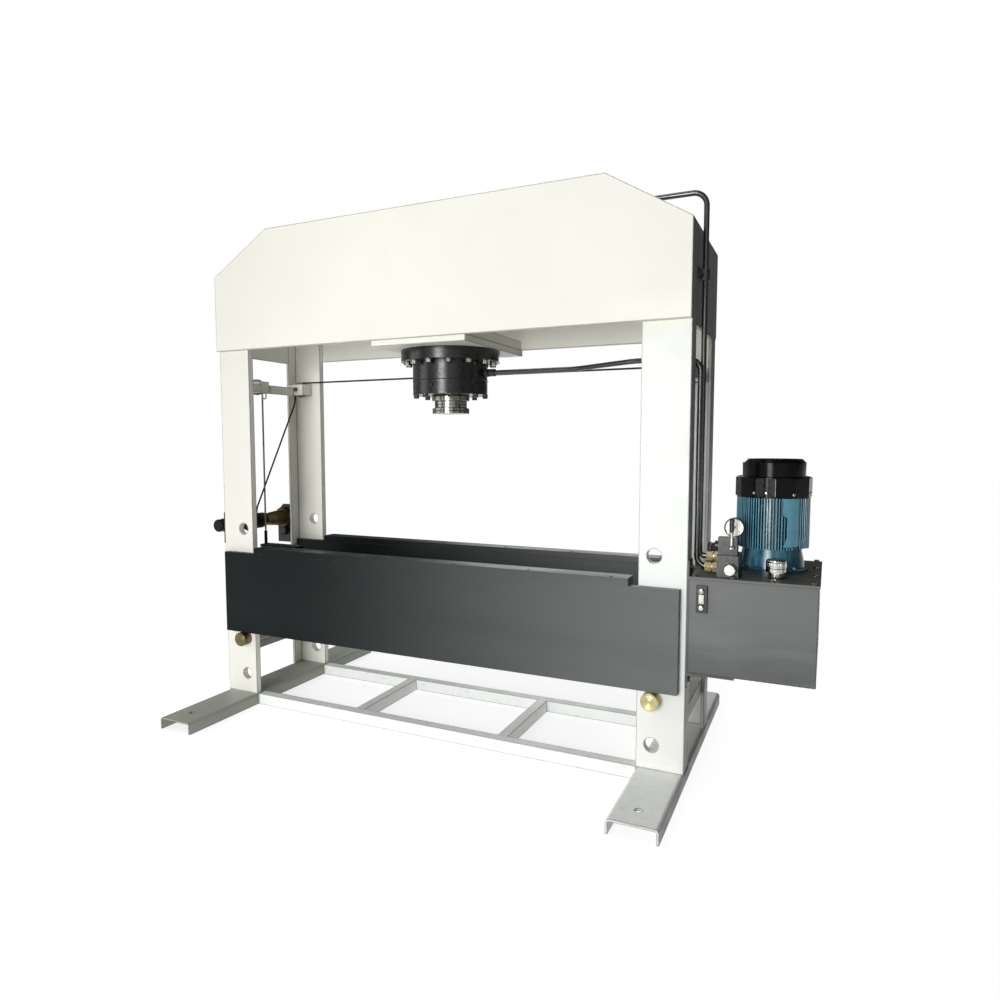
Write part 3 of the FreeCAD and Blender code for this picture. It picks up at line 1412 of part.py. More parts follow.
def make_pressure_gauge():
    """Gauge case with a recessed dial, on its stem."""
    centre = gauge_centre()
    radius = pressure_gauge_diameter / 2
    half = pressure_gauge_thickness / 2
    case = cylinder(radius, centre + Y_DIR * half, -Y_DIR, pressure_gauge_thickness)
    floor = centre - Y_DIR * (half - dial_depth)
    recess = cylinder(radius - gauge_rim, floor, -Y_DIR, dial_depth)
    spindle = cylinder(spindle_diameter / 2, floor, -Y_DIR, needle_gap + 2 * needle_thickness)
    foot = V(centre.x, centre.y, block_top)
    stem = cylinder(pressure_gauge_stem / 2, foot, Z_DIR, pressure_gauge_height - radius + gauge_rim)
    nut = hexagon(stem_nut, foot, Z_DIR, stem_nut_height)
    return union([case.cut(recess), spindle, stem, nut])


def make_needle():
    """Needle on the dial's spindle, pointing at the low end of the scale."""
    centre = gauge_centre() - Y_DIR * (pressure_gauge_thickness / 2 - dial_depth + needle_gap)
    hub = cylinder(needle_hub_diameter / 2, centre, -Y_DIR, needle_thickness)
    blade = box(-needle_width / 2, needle_width / 2, -needle_thickness, 0, -needle_length / 3, needle_length)
    blade.translate(centre)
    bore = cylinder(spindle_diameter / 2 + spindle_clearance, centre, -Y_DIR, needle_thickness)
    needle = union([hub, blade]).cut(bore)
    needle.rotate(centre, Y_DIR, -dial_sweep / 2)
    return needle


# ---------------------------------------------------------------- pipes
def make_lower_pipe():
    """Return-side pipe: cylinder body, behind the right upright, down to the valve block."""
    start_x = body_diameter / 2 + fitting_length
    corner = half_width + lower_pipe_x
    points = [V(start_x, 0, lower_port_z), V(lower_pipe_turn_x, 0, lower_port_z),
              V(lower_pipe_side_x, lower_pipe_y, lower_port_z), V(corner, lower_pipe_y, lower_port_z),
              V(corner, lower_pipe_y, lower_fitting_z),
              V(block_left - fitting_length, lower_pipe_y, lower_fitting_z)]
    radii = [lower_pipe_sweep, lower_pipe_sweep, pipe_bend_radius, pipe_end_bend_radius]
    return tube(bent_path(points, radii), pipe_diameter)


def make_upper_pipe():
    """Pressure pipe: top of the barrel, up inside the beam, over its end and down outside."""
    start_x = barrel_diameter / 2 + fitting_length
    corner = half_width + upper_pipe_x
    points = [V(start_x, 0, upper_port_z), V(upper_pipe_riser_x, 0, upper_port_z),
              V(upper_pipe_riser_x + upper_pipe_riser_lean, upper_pipe_y, upper_pipe_z),
              V(corner, upper_pipe_y, upper_pipe_z),
              V(corner, upper_pipe_y, upper_fitting_z),
              V(block_left - fitting_length, upper_pipe_y, upper_fitting_z)]
    radii = [pipe_bend_radius, pipe_bend_radius, pipe_bend_radius, upper_end_bend_radius]
    return tube(bent_path(points, radii), pipe_diameter)


def fitting(start, direction):
    """Compression fitting: a port stub, a hexagon and a union nut round the pipe's end."""
    stub = cylinder(pipe_diameter / 2 + fitting_wall, start, direction, fitting_length)
    body = hexagon(fitting_hex, start + direction * fitting_shoulder, direction, fitting_hex_length)
    nut_start = start + direction * (fitting_length - fitting_nut_length)
    nut = hexagon(fitting_nut, nut_start, direction, fitting_nut_length)
    return union([stub, body, nut])


def make_fittings():
    return group([fitting(V(body_diameter / 2, 0, lower_port_z), X_DIR),
                  fitting(V(barrel_diameter / 2, 0, upper_port_z), X_DIR),
                  fitting(V(block_left, lower_pipe_y, lower_fitting_z), -X_DIR),
                  fitting(V(block_left, upper_pipe_y, upper_fitting_z), -X_DIR)])


def make_pipe_clamp():
    """Flat strap on the beam's end with a saddle round the upper pipe."""
    x = half_width
    pipe_x = x + upper_pipe_x
    z0 = clamp_height - clamp_width / 2
    radius = pipe_diameter / 2 + clamp_wall
    strap = box(x, x + clamp_thickness, upper_pipe_y - clamp_length / 2, upper_pipe_y + clamp_length / 2,
                z0, z0 + clamp_width)
    saddle = cylinder(radius, V(pipe_x, upper_pipe_y, z0), Z_DIR, clamp_width)
    riser = box(x, pipe_x, upper_pipe_y - radius, upper_pipe_y + radius, z0, z0 + clamp_width)
    screws = []
    screw_reach = clamp_length / 2 - clamp_screw_inset
    for y in (upper_pipe_y - screw_reach, upper_pipe_y + screw_reach):
        screws.append(hexagon(clamp_screw_head, V(x + clamp_thickness, y, clamp_height), X_DIR,
                              clamp_screw_height))
    pipe_hole = cylinder(pipe_diameter / 2, V(pipe_x, upper_pipe_y, z0), Z_DIR, clamp_width)
    return union([strap, saddle, riser] + screws).cut(pipe_hole)


# ---------------------------------------------------------------- the whole press
def build_frame():
    nodes["left_foot"] = make_foot(-1)
    nodes["right_foot"] = make_foot(1)
    nodes["base_angles"] = make_base_angles()
    nodes["front_left_upright"] = make_upright(-1, False)
    nodes["front_right_upright"] = make_upright(1, False)
    nodes["rear_left_upright"] = make_upright(-1, True)
    nodes["rear_right_upright"] = make_upright(1, True)
    nodes["beam_front_plate"] = make_beam_plate(False)
    nodes["beam_rear_plate"] = make_beam_plate(True)
    nodes["beam_end_plates"] = make_beam_end_plates()
    nodes["cylinder_lower_plate"] = make_lower_plate()
    nodes["cylinder_upper_plate"] = make_upper_plate()


def build_cylinder():
    nodes["cylinder_barrel"] = make_barrel()
    nodes["cylinder_gland"] = make_gland()
    nodes["ram"] = make_ram()
    nodes["ram_nose"] = make_nose()
    flange_grip = mount_flange_thickness + lower_plate_thickness + upper_plate_thickness
    nodes["flange_bolts"] = make_ring_bolts(flange_bolt_count, flange_bolt_circle, 0, mount_flange_bottom,
                                            flange_bolt_shank, flange_bolt_head, flange_bolt_head_height,
                                            flange_grip)
    nodes["gland_bolts"] = make_ring_bolts(gland_bolt_count, gland_bolt_circle, gland_bolt_phase, gland_bottom,
                                           gland_bolt_shank, gland_bolt_head, gland_bolt_head_height,
                                           gland_thickness + gland_bolt_grip)


def build_bed():
    nodes["bed_front_plate"] = make_bed_plate(False)
    nodes["bed_rear_plate"] = make_bed_plate(True)
    nodes["bed_spacers"] = make_spacers()
    nodes["guide_bars"] = make_guide_bars()
    nodes["guide_bar_screws"] = make_bar_screws()
    nodes["left_bed_pin"] = make_pin(-1)
    nodes["right_bed_pin"] = make_pin(1)


def build_hoist():
    nodes["left_pulley_beam"] = make_left_pulley_beam()
    nodes["right_pulley_beam"] = make_right_pulley_beam()
    nodes["front_left_pulley"] = make_pulley(front_pulley_x, front_rope_y)
    nodes["rear_left_pulley"] = make_pulley(-rear_pulley_x, rear_rope_y)
    nodes["right_pulley"] = make_pulley(rear_pulley_x, rear_rope_y)
    nodes["pulley_axles"] = group([make_axle(front_pulley_x, front_rope_y),
                                   make_axle(-rear_pulley_x, rear_rope_y),
                                   make_axle(rear_pulley_x, rear_rope_y)])
    nodes["left_rope"] = make_left_rope()
    nodes["cross_rope"] = make_cross_rope()
    nodes["left_rope_fall"] = make_rope_fall(left_fall_x, front_rope_y)
    nodes["right_rope_fall"] = make_rope_fall(rope_fall_offset, rear_rope_y)
    nodes["hoist_brackets"] = make_hoist_brackets()
    nodes["hoist_drum"] = make_drum()
    nodes["hoist_pinion"] = make_pinion()
    nodes["hoist_crank"] = make_crank()


def build_power_pack():
    nodes["oil_tank"] = make_tank()
    nodes["tank_lid"] = make_lid()
    nodes["pack_bolts"] = make_pack_bolts()
    nodes["tank_brackets"] = make_tank_brackets()
    nodes["level_gauge"] = make_level_gauge()
    nodes["filler_cap"] = make_filler_cap()
    nodes["return_filter"] = make_return_filter()
    nodes["motor_body"] = make_motor_body()
    nodes["fan_cover"] = make_fan_cover()
    nodes["motor_shaft"] = make_motor_shaft()
    nodes["gear_pump"] = make_gear_pump()
    nodes["valve_block"] = make_valve_block()
    nodes["lever_valve"] = make_lever_valve()
    nodes["valve_lever"] = make_valve_lever()
    nodes["relief_knob"] = make_relief_knob()
    nodes["pressure_gauge"] = make_pressure_gauge()
    nodes["gauge_needle"] = make_needle()


def build_pipes():
    nodes["lower_pipe"] = make_lower_pipe()
    nodes["upper_pipe"] = make_upper_pipe()
    nodes["pipe_fittings"] = make_fittings()
    nodes["pipe_clamp"] = make_pipe_clamp()


build_frame()
build_cylinder()
build_bed()
build_hoist()
build_power_pack()
build_pipes()

os.makedirs("parts", exist_ok=True)
for name, shape in nodes.items():
    shape.exportStep("parts/%s.step" % name)
    print("%-22s solids %2d  volume %12.0f mm3" % (name, len(shape.Solids), shape.Volume))
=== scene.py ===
import json
import math

import bmesh
import bpy
from mathutils import Matrix, Vector


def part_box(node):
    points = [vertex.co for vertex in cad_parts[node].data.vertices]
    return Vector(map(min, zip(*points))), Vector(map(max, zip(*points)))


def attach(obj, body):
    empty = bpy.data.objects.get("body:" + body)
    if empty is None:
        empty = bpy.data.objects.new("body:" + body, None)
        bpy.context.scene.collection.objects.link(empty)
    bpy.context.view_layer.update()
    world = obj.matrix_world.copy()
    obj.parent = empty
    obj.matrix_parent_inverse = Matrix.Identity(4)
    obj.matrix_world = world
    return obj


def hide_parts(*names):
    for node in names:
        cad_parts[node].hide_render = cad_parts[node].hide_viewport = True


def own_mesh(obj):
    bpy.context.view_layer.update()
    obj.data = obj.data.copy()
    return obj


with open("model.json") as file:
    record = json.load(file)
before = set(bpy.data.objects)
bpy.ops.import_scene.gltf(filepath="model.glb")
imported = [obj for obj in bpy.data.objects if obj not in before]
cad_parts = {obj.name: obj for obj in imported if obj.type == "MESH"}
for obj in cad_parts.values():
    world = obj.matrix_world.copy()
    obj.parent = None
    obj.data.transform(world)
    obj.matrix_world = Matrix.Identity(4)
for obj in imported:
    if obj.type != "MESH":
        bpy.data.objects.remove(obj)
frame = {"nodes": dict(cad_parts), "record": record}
scene = bpy.context.scene
scene.view_settings.view_transform = "Standard"
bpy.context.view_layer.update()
nodes = frame["nodes"]

X_AXIS = Vector((1, 0, 0))
Y_AXIS = Vector((0, 1, 0))
Z_AXIS = Vector((0, 0, 1))
MM = 0.001

# sizes, in metres
ROPE_RADIUS = 4 * MM
WINDING_RADIUS = 32.3 * MM          # rope's centre line on the drum
WINDING_TURNS = 4
WINDING_PITCH = 19 * MM             # of one rope; the two ropes lie side by side
PULLEY_RADIUS = 31 * MM             # rope's centre line on a pulley
CROSS_EASING = 120 * MM             # radius at both ends of the slanting run
EASING_REACH = 60 * MM              # straight run before it
STRAND_COUNT = 6
STRAND_RADIUS = 1.33 * MM
STRAND_LAY = 52 * MM                # length of one turn of a strand
ROPE_STEP = 4.3 * MM
HALF_ROUND_STEPS = 24
WELD_RIPPLE = 5 * MM
TANK_WELD = 0.0022                  # radius of a bead, and so on below
FOOT_WELD = 0.0034
PLATE_WELD = 0.003
PLATE_END_WELD = 0.0026
BAR_WELD = 0.0024
DIAL_DEPTH = 6 * MM
DIAL_SWEEP = 270                    # degrees
DIAL_STEPS = 20
DIAL_LABELS = ("0", "100", "200", "300", "400")
DIAL_LETTERS = 5.2 * MM
ROD_RADIUS = 65.2 * MM
NOSE_RINGS = ((0.0758, 0.0815), (0.065, 0.048), (0.065, 0.036), (0.065, 0.0235), (0.0744, 0.0105))
MOTOR_FINS_START = 0.794            # height of the fins' lower ends above the floor
MOTOR_FIN_COUNT = 40                # of the housing; thin ones stand between them
MOTOR_SKIN = 0.112                  # radius behind the motor's side panels
MOTOR_FOOT_CIRCLE = 0.1065          # radius on which the foot bolts stand
TERMINAL_DROP = 0.0845              # from the cowl's foot down to the middle of the terminal box
MOTOR_FIN_GAPS = ((58, 18), (180, 28))      # azimuth and half width of what has no thin fins
SIDE_FIN_ROOT = 0.1165              # radius at which the fins right of the panel start
SIDE_FIN_GROUND = 0.1174            # radius of the dark face between them, which paints their shade
PANEL_SHADOW = 0.1172               # radius of the dark face that shows round the smooth panel
PANEL_FACE = 0.1186                 # radius of the smooth panel, and of the fins right of it
SIDE_FIN_ANGLES = (50.5, 55.5, 60.5, 65.5, 70.5, 75.5)
COWL_SIDES = 12                     # flats round the cowl's lower part
COWL_STEP = 0.067                   # height of the cowl's step above its foot
COWL_SCREWS = ((-26, 0.016), (-7, 0.017), (35, 0.012), (80, 0.014), (170, 0.014), (260, 0.014))

# floor and camera
FLOOR_NEAR = 1.9                    # the floor fades into the white backdrop between these distances
FLOOR_FAR = 3.8
FLOOR_GLOW = 0.68
FLOOR_RIGHT = 0.05                  # share of the floor's own tone that is left on the right
FLOOR_LIFT = 0.5                    # light that the floor sends up under the press
CAMERA_PLACE = (1.4025, -2.5512, 1.1426)
CAMERA_TILT = 0.077                 # radians below the level
CAMERA_TURN = 0.433                 # radians to the left
CAMERA_LENS = 25.52
CAMERA_SHIFT = (-0.00075, -0.00207)


def middle(node):
    low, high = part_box(node)
    return (low + high) / 2


def outward(azimuth):
    """Level direction at an angle in degrees from the front, which grows towards the right."""
    angle = math.radians(azimuth)
    return Vector((math.sin(angle), -math.cos(angle), 0))


# ---------------------------------------------------------------- material tools
def linear(value):
    value = value / 255
    return value / 12.92 if value <= 0.04045 else ((value + 0.055) / 1.055) ** 2.4


def colour(tone):
    """Turns a tone as a screen shows it, 0 to 255, into the linear colour that a node takes."""
    return tuple(linear(value) for value in tone) + (1,)


class Graph:
    """A node tree that is built up step by step."""

    def __init__(self, tree):
        self.tree = tree

    def node(self, kind, **values):
        made = self.tree.nodes.new(kind)
        for key, value in values.items():
            setattr(made, key, value)
        return made

    def link(self, out, into):
        self.tree.links.new(out, into)

    def math(self, operation, first, second):
        made = self.node("ShaderNodeMath", operation=operation)
        for value, socket in ((first, made.inputs[0]), (second, made.inputs[1])):
            if isinstance(value, (int, float)):
                socket.default_value = value
            else:
                self.link(value, socket)
        return made.outputs[0]

    def both(self, first, second):
        return self.math("MULTIPLY", first, second)

    def steps(self, value, low, high, at_low=0.0, at_high=1.0):
        """Eased step of a value from at_low, where it is low, to at_high, where it is high."""
        made = self.node("ShaderNodeMapRange", interpolation_type="SMOOTHSTEP")
        for key, number in (("From Min", low), ("From Max", high), ("To Min", at_low), ("To Max", at_high)):
            made.inputs[key].default_value = number
        self.link(value, made.inputs["Value"])
        return made.outputs["Result"]

    def part(self, vector, axis):
        split = self.node("ShaderNodeSeparateXYZ")
        self.link(vector, split.inputs[0])
        return split.outputs[axis]

    def background_rays(self):
        """Rays that show the background: the camera's own, and those seen in metal or through glass."""
        path = self.node("ShaderNodeLightPath").outputs
        return path["Is Camera Ray"], self.math("MAXIMUM", path["Is Glossy Ray"], path["Is Transmission Ray"])


class Surface(Graph):
    """A material; its tones are written as a screen shows them."""

    def __init__(self, name, base, roughness, metallic=0.0, specular=0.5):
        self.material = bpy.data.materials.new(name)
        self.material.use_nodes = True
        super().__init__(self.material.node_tree)
        self.shader = self.tree.nodes["Principled BSDF"]
        for key, value in (("Base Color", colour(base)), ("Roughness", roughness), ("Metallic", metallic),
                           ("Specular IOR Level", specular)):
            self.shader.inputs[key].default_value = value
        self.place = self.node("ShaderNodeTexCoord").outputs["Object"]
        self.tint = None
        self.rough = None
        self.normal = None

    def noise(self, scale, detail=3.0, stretch=(1, 1, 1), roughness=0.5, shift=0.0):
        mapping = self.node("ShaderNodeMapping")
        mapping.inputs["Scale"].default_value = stretch
        mapping.inputs["Location"].default_value = (shift, shift, shift)
        self.link(self.place, mapping.inputs["Vector"])
        made = self.node("ShaderNodeTexNoise")
        for key, value in (("Scale", scale), ("Detail", detail), ("Roughness", roughness)):
            made.inputs[key].default_value = value
        self.link(mapping.outputs["Vector"], made.inputs["Vector"])
        return made.outputs["Fac"]

    def blend(self, fac, tone):
        """Mixes the colour so far with another one."""
        made = self.node("ShaderNodeMix", data_type="RGBA")
        if self.tint is None:
            made.inputs[6].default_value = self.shader.inputs["Base Color"].default_value
        else:
            self.link(self.tint, made.inputs[6])
        made.inputs[7].default_value = colour(tone)
        self.link(fac, made.inputs[0])
        self.tint = made.outputs[2]

    def patches(self, tone, low, high, most, *noise, **extras):
        """Blends in a tone where a noise is strong; it starts at low and is full, or most, at high."""
        self.blend(self.steps(self.noise(*noise, **extras), low, high, 0.0, most), tone)

    def vary_rough(self, value, low, high):
        self.rough = self.steps(value, 0.3, 0.7, low, high)

    def bump(self, height, strength, distance):
        made = self.node("ShaderNodeBump")
        made.inputs["Strength"].default_value = strength
        made.inputs["Distance"].default_value = distance
        self.link(height, made.inputs["Height"])
        if self.normal is not None:
            self.link(self.normal, made.inputs["Normal"])
        self.normal = made.outputs["Normal"]

    def bevel(self, radius):
        made = self.node("ShaderNodeBevel", samples=4)
        made.inputs["Radius"].default_value = radius
        return made.outputs["Normal"]

    def round_edges(self, radius):
        self.normal = self.bevel(radius)

    def edges(self, radius, low=0.02, high=0.25):
        """Mask that is 1 on the outer edges."""
        dot = self.node("ShaderNodeVectorMath", operation="DOT_PRODUCT")
        self.link(self.bevel(radius), dot.inputs[0])
        self.link(self.node("ShaderNodeNewGeometry").outputs["Normal"], dot.inputs[1])
        return self.steps(self.math("SUBTRACT", 1.0, dot.outputs["Value"]), low, high)

    def upward(self):
        """Mask that is 1 on faces that look up."""
        return self.steps(self.part(self.node("ShaderNodeNewGeometry").outputs["Normal"], "Z"), 0.5, 0.9)

    def along(self, axis, start, end):
        """Mask that rises from 0 at start to 1 at end along the object's own X, Y or Z."""
        return self.steps(self.part(self.place, axis), start, end)

    def around(self, centre, start, end):
        """Mask that rises from 0 at start to 1 at end, measured from an upright axis."""
        vector = self.place
        for operation, value in (("SUBTRACT", centre), ("MULTIPLY", (1, 1, 0))):
            made = self.node("ShaderNodeVectorMath", operation=operation)
            self.link(vector, made.inputs[0])
            made.inputs[1].default_value = value
            vector = made.outputs["Vector"]
        length = self.node("ShaderNodeVectorMath", operation="LENGTH")
        self.link(vector, length.inputs[0])
        return self.steps(length.outputs["Value"], start, end)

    def dust(self, tone, most=0.5, scale=28.0):
        """Patches of dust on faces that look up."""
        self.blend(self.both(self.upward(), self.steps(self.noise(scale, 6.0), 0.4, 0.75, 0.1, most)), tone)

    def edge_wear_and_highlight(self, tone, radius, most, scale=55.0):
        """Worn outer edges, broken up by noise; in a pale tone on black paint they are painted highlights."""
        patches = self.steps(self.noise(scale, 5.0), 0.5, 0.68, 0.0, most)
        self.blend(self.both(self.edges(radius), patches), tone)

    def done(self):
        for key, value in (("Base Color", self.tint), ("Roughness", self.rough), ("Normal", self.normal)):
            if value is not None:
                self.link(value, self.shader.inputs[key])
        return self.material


def sprayed(name, base, dirt, painted_left_shade, left_reach=(-0.825, -0.84), wear=0.35, clouds=0.35, dusty=0.5,
            painted_right_light=None):
    """Sprayed paint on steel: orange peel, faint clouds, dust on top, dirt near the floor, worn edges, and a
    dark line along the outer edges that is painted shade.

    The tone given for the left end is painted shade, and left_reach says where it starts and where it is full.
    The tone given for the right side below the beam is painted light: lighter and cooler.
    """
    made = Surface(name, base, 0.42, specular=0.35)
    made.round_edges(0.0012)
    # Painted light: the right side below the beam is lighter and cooler.
    if painted_right_light is not None:
        made.blend(made.both(made.along("X", 0.5, 0.85), made.along("Z", 1.55, 1.45)), painted_right_light)
    # Painted shade: the left end is darker.
    made.blend(made.along("X", *left_reach), painted_left_shade)
    made.patches(dirt, 0.35, 0.75, clouds, 1.6, 3.0)
    made.patches(dirt, 0.6, 0.85, clouds, 6.0, 5.0, (1, 1, 0.2), 0.6, 3.1)
    made.dust((190, 187, 176), dusty)
    splashes = made.steps(made.noise(40.0, 6.0), 0.5, 0.8, 0.0, 0.18)
    made.blend(made.both(made.along("Z", 0.2, 0.0), splashes), (132, 128, 118))
    # Painted shade: a dark line along every outer edge.
    made.blend(made.both(made.edges(0.0065, 0.01, 0.08), 0.95), (78, 77, 73))
    made.edge_wear_and_highlight((84, 82, 78), 0.0018, wear)
    made.vary_rough(made.noise(9.0, 4.0), 0.36, 0.52)
    made.bump(made.noise(420.0, 2.0), 0.06, 0.0006)
    made.bump(made.noise(14.0, 2.0), 0.04, 0.003)
    return made.done()


def dark_plate(name, base, light, roughness, specular, streaks=(0.3, 3, 3), film=None, low_shade=None,
               top_shade=None):
    """Dark satin paint over rolled plate, with long streaks and small rubs.

    The tone given for the right is a painted sheen that grows to the right. low_shade gives the heights
    between which a plate darkens downwards; such a plate is mottled too, with painted shade on its edges.
    top_shade is the tone of faces that look up.
    """
    made = Surface(name, base, roughness, specular=specular)
    made.round_edges(0.001)
    # Painted light: a sheen that grows towards the right.
    if film is not None:
        made.blend(made.along("X", -0.68, 1.82), film)
    if low_shade is not None:
        made.blend(made.both(made.along("Z", *low_shade), 0.75), (82, 86, 86))
        made.patches(light, 0.45, 0.75, 0.35, 7.0, 5.0, (0.35, 1, 2.2), 0.6, 1.7)
        # Painted shade: a dark line along the outer edges.
        made.blend(made.both(made.edges(0.005, 0.01, 0.08), 0.8), (36, 38, 38))
    if top_shade is not None:
        made.blend(made.upward(), top_shade)
    made.patches(light, 0.35, 0.8, 0.15, 3.0, 4.0, streaks)
    made.patches(light, 0.6, 0.9, 0.2, 110.0, 4.0, (0.08, 1, 1), 0.7)
    made.edge_wear_and_highlight((128, 131, 128), 0.0016, 0.6, 30.0)
    made.dust((104, 105, 100), 0.4, 22.0)
    made.vary_rough(made.noise(5.0, 5.0, (0.6, 2, 2)), roughness - 0.06, roughness + 0.1)
    made.bump(made.noise(260.0, 3.0), 0.07, 0.0008)
    made.bump(made.noise(6.0, 3.0, (0.5, 1, 1)), 0.05, 0.004)
    return made.done()


def bare_metal(name, base, stain, roughness, brushed=(1, 1, 1), grain=0.12):
    """Machined or plated metal with its tool marks and a slight stain."""
    made = Surface(name, base, roughness, metallic=1.0)
    made.round_edges(0.0006)
    made.patches(stain, 0.4, 0.75, 0.6, 34.0, 5.0)
    marks = made.noise(180.0, 3.0, brushed, 0.6)
    made.vary_rough(marks, max(roughness - 0.08, 0.03), roughness + 0.12)
    made.bump(marks, grain, 0.0003)
    return made.done()


def streaked_chrome(name, base, dark, roughness):
    """Hard chrome with drawn oil, and dark lengthwise streaks that are painted reflections."""
    made = Surface(name, base, roughness, metallic=1.0)
    made.round_edges(0.0006)
    # Painted reflections: dark lengthwise streaks.
    made.patches(dark, 0.5, 0.62, 0.85, 46.0, 3.0, (1, 1, 0.02), 0.6)
    oil = made.noise(60.0, 4.0, (1, 1, 0.4), 0.6, 4.0)
    made.blend(made.steps(oil, 0.6, 0.8, 0.0, 0.4), (70, 68, 62))
    made.vary_rough(made.noise(90.0, 3.0, (1, 1, 0.05)), roughness - 0.04, roughness + 0.12)
    made.bump(made.noise(500.0, 2.0, (1, 1, 6)), 0.03, 0.0002)
    return made.done()


def glossy_black(name, base, roughness, texture, strength, specks, specular):
    """Thick black enamel over a rough casting, with bright specks in its grain."""
    made = Surface(name, base, roughness, specular=specular)
    made.round_edges(0.0012)
    made.patches((112, 112, 106), 0.62, 0.78, specks, texture * 1.3, 3.0)
    # Painted highlights: pale outer edges, broken up by noise.
    made.edge_wear_and_highlight((140, 140, 134), 0.0018, 0.7)
    made.vary_rough(made.noise(60.0, 5.0), roughness - 0.03, roughness + 0.1)
    made.bump(made.noise(texture, 4.0, roughness=0.6), strength, 0.0006)
    return made.done()


def oily_zinc(name, base, grime):
    """Yellow-grey zinc with a thin layer of oil; what sits on the cylinder is grimy."""
    made = Surface(name, base, 0.3, metallic=0.45)
    made.round_edges(0.0006)
    made.patches((122, 112, 84), 0.4, 0.7, 0.4, 46.0, 4.0)
    made.blend(made.along("X", 0.9, 0.6), grime)
    made.vary_rough(made.noise(70.0, 3.0), 0.2, 0.42)
    made.bump(made.noise(240.0, 2.0), 0.1, 0.0003)
    return made.done()


def drum_metal(name, base, stain, front):
    """Zinc with old grease between the turns; the hub in front of the ropes is painted black."""
    made = Surface(name, base, 0.36, metallic=0.8)
    made.round_edges(0.0006)
    made.patches(stain, 0.35, 0.7, 0.7, 34.0, 5.0)
    made.blend(made.along("Y", -0.028, -0.04), front)
    made.vary_rough(made.noise(60.0, 3.0, (8, 1, 8)), 0.28, 0.5)
    made.bump(made.noise(180.0, 3.0, (8, 1, 8)), 0.12, 0.0003)
    return made.done()


def pin_metal(name, base, stain, painted_pin_shade):
    """Turned zinc, brass-tinted; the pin on the left is darker, a painted shade."""
    made = Surface(name, base, 0.34, metallic=1.0)
    made.round_edges(0.0006)
    # Painted shade: the pin on the left is darker.
    made.blend(made.along("X", 0.3, -0.3), painted_pin_shade)
    made.patches(stain, 0.4, 0.75, 0.5, 34.0, 5.0)
    marks = made.noise(180.0, 3.0, (9, 0.7, 9), 0.6)
    made.vary_rough(marks, 0.26, 0.46)
    made.bump(marks, 0.08, 0.0003)
    return made.done()


def enamel_motor(name, base, deep):
    """Glossy enamel on a finned casting: painted shade between the fins and on the left, painted highlights on
    the fin tips and outer edges, and painted reflections as streaks down the neck.
    """
    made = Surface(name, base, 0.2, specular=0.6)
    axis = middle("fan_cover")
    made.round_edges(0.0008)
    made.patches(deep, 0.4, 0.7, 0.4, 12.0, 4.0)
    # Painted shade between the fins.
    finned = made.along("Z", MOTOR_FINS_START - 0.002, MOTOR_FINS_START + 0.002)
    made.blend(made.both(made.around(axis, 0.1163, 0.111), finned), (6, 20, 28))
    # Painted highlights on the fin tips, broken up by noise.
    painted_tip_highlight = made.steps(made.noise(60.0, 3.0, (1, 1, 0.1)), 0.35, 0.6, 0.1, 0.6)
    made.blend(made.both(made.around(axis, 0.1145, 0.1165), painted_tip_highlight), (104, 164, 188))
    # Painted shade: darker towards the left.
    left_side = axis.x - 0.03
    made.blend(made.both(made.along("X", left_side, left_side - 0.085), 0.6), (16, 56, 76))
    # Painted reflections: deeper blue streaks down the neck below the fins.
    runs = made.steps(made.noise(55.0, 4.0, (1, 1, 0.12), 0.6), 0.35, 0.65, 0.3, 0.85)
    foot = made.along("Z", MOTOR_FINS_START + 0.002, MOTOR_FINS_START - 0.006)
    made.blend(made.both(foot, runs), (24, 62, 82))
    made.blend(made.both(made.along("Z", 0.738, 0.73), 0.8), (14, 44, 60))
    made.dust((92, 112, 116), 0.4)
    # Painted highlights along the outer edges.
    made.blend(made.both(made.edges(0.0012), 0.6), (176, 206, 212))
    made.vary_rough(made.noise(30.0, 4.0), 0.14, 0.3)
    made.bump(made.noise(300.0, 3.0), 0.12, 0.0006)
    return made.done()


def clear_glass(name, tint):
    made = Surface(name, tint, 0.04)
    made.shader.inputs["Transmission Weight"].default_value = 0.94
    made.shader.inputs["IOR"].default_value = 1.12
    made.patches((210, 210, 205), 0.6, 0.9, 0.05, 60.0, 4.0)
    made.vary_rough(made.noise(40.0, 4.0), 0.03, 0.09)
    return made.done()


def printed(name, base, shade):
    """Printed face or moulded plastic with a trace of yellowing."""
    made = Surface(name, base, 0.5, specular=0.3)
    made.patches(shade, 0.4, 0.8, 0.5, 60.0, 4.0)
    made.vary_rough(made.noise(90.0, 2.0), 0.42, 0.58)
    return made.done()


def rope_wire(name, base, grease):
    """Drawn wires of a strand under old grease."""
    made = Surface(name, base, 0.42, metallic=0.6)
    made.patches(grease, 0.35, 0.7, 0.85, 70.0, 5.0)
    made.patches((110, 102, 88), 0.6, 0.75, 0.3, 900.0, 2.0, shift=2.0)
    made.vary_rough(made.noise(200.0, 3.0), 0.3, 0.6)
    made.bump(made.noise(1400.0, 2.0), 0.4, 0.0002)
    return made.done()


# ---------------------------------------------------------------- materials
look = {}


def add_look(slot, maker, *values, **extras):
    """Makes the look of a slot; the material has the slot's name."""
    look[slot] = maker(slot, *values, **extras)


# The ivory's left-end tone is painted shade, and its right-side tone is painted light.
look["frame_paint"] = sprayed("ivory_paint", (243, 242, 232), (226, 223, 211), (234, 233, 224), (-0.5, -0.95),
                              painted_right_light=(245, 248, 244))
# The base's left-end tone is painted shade.
add_look("base_paint", sprayed, (236, 239, 236), (218, 221, 217), (150, 154, 144), wear=0.5, clouds=0.14,
         dusty=0.2)
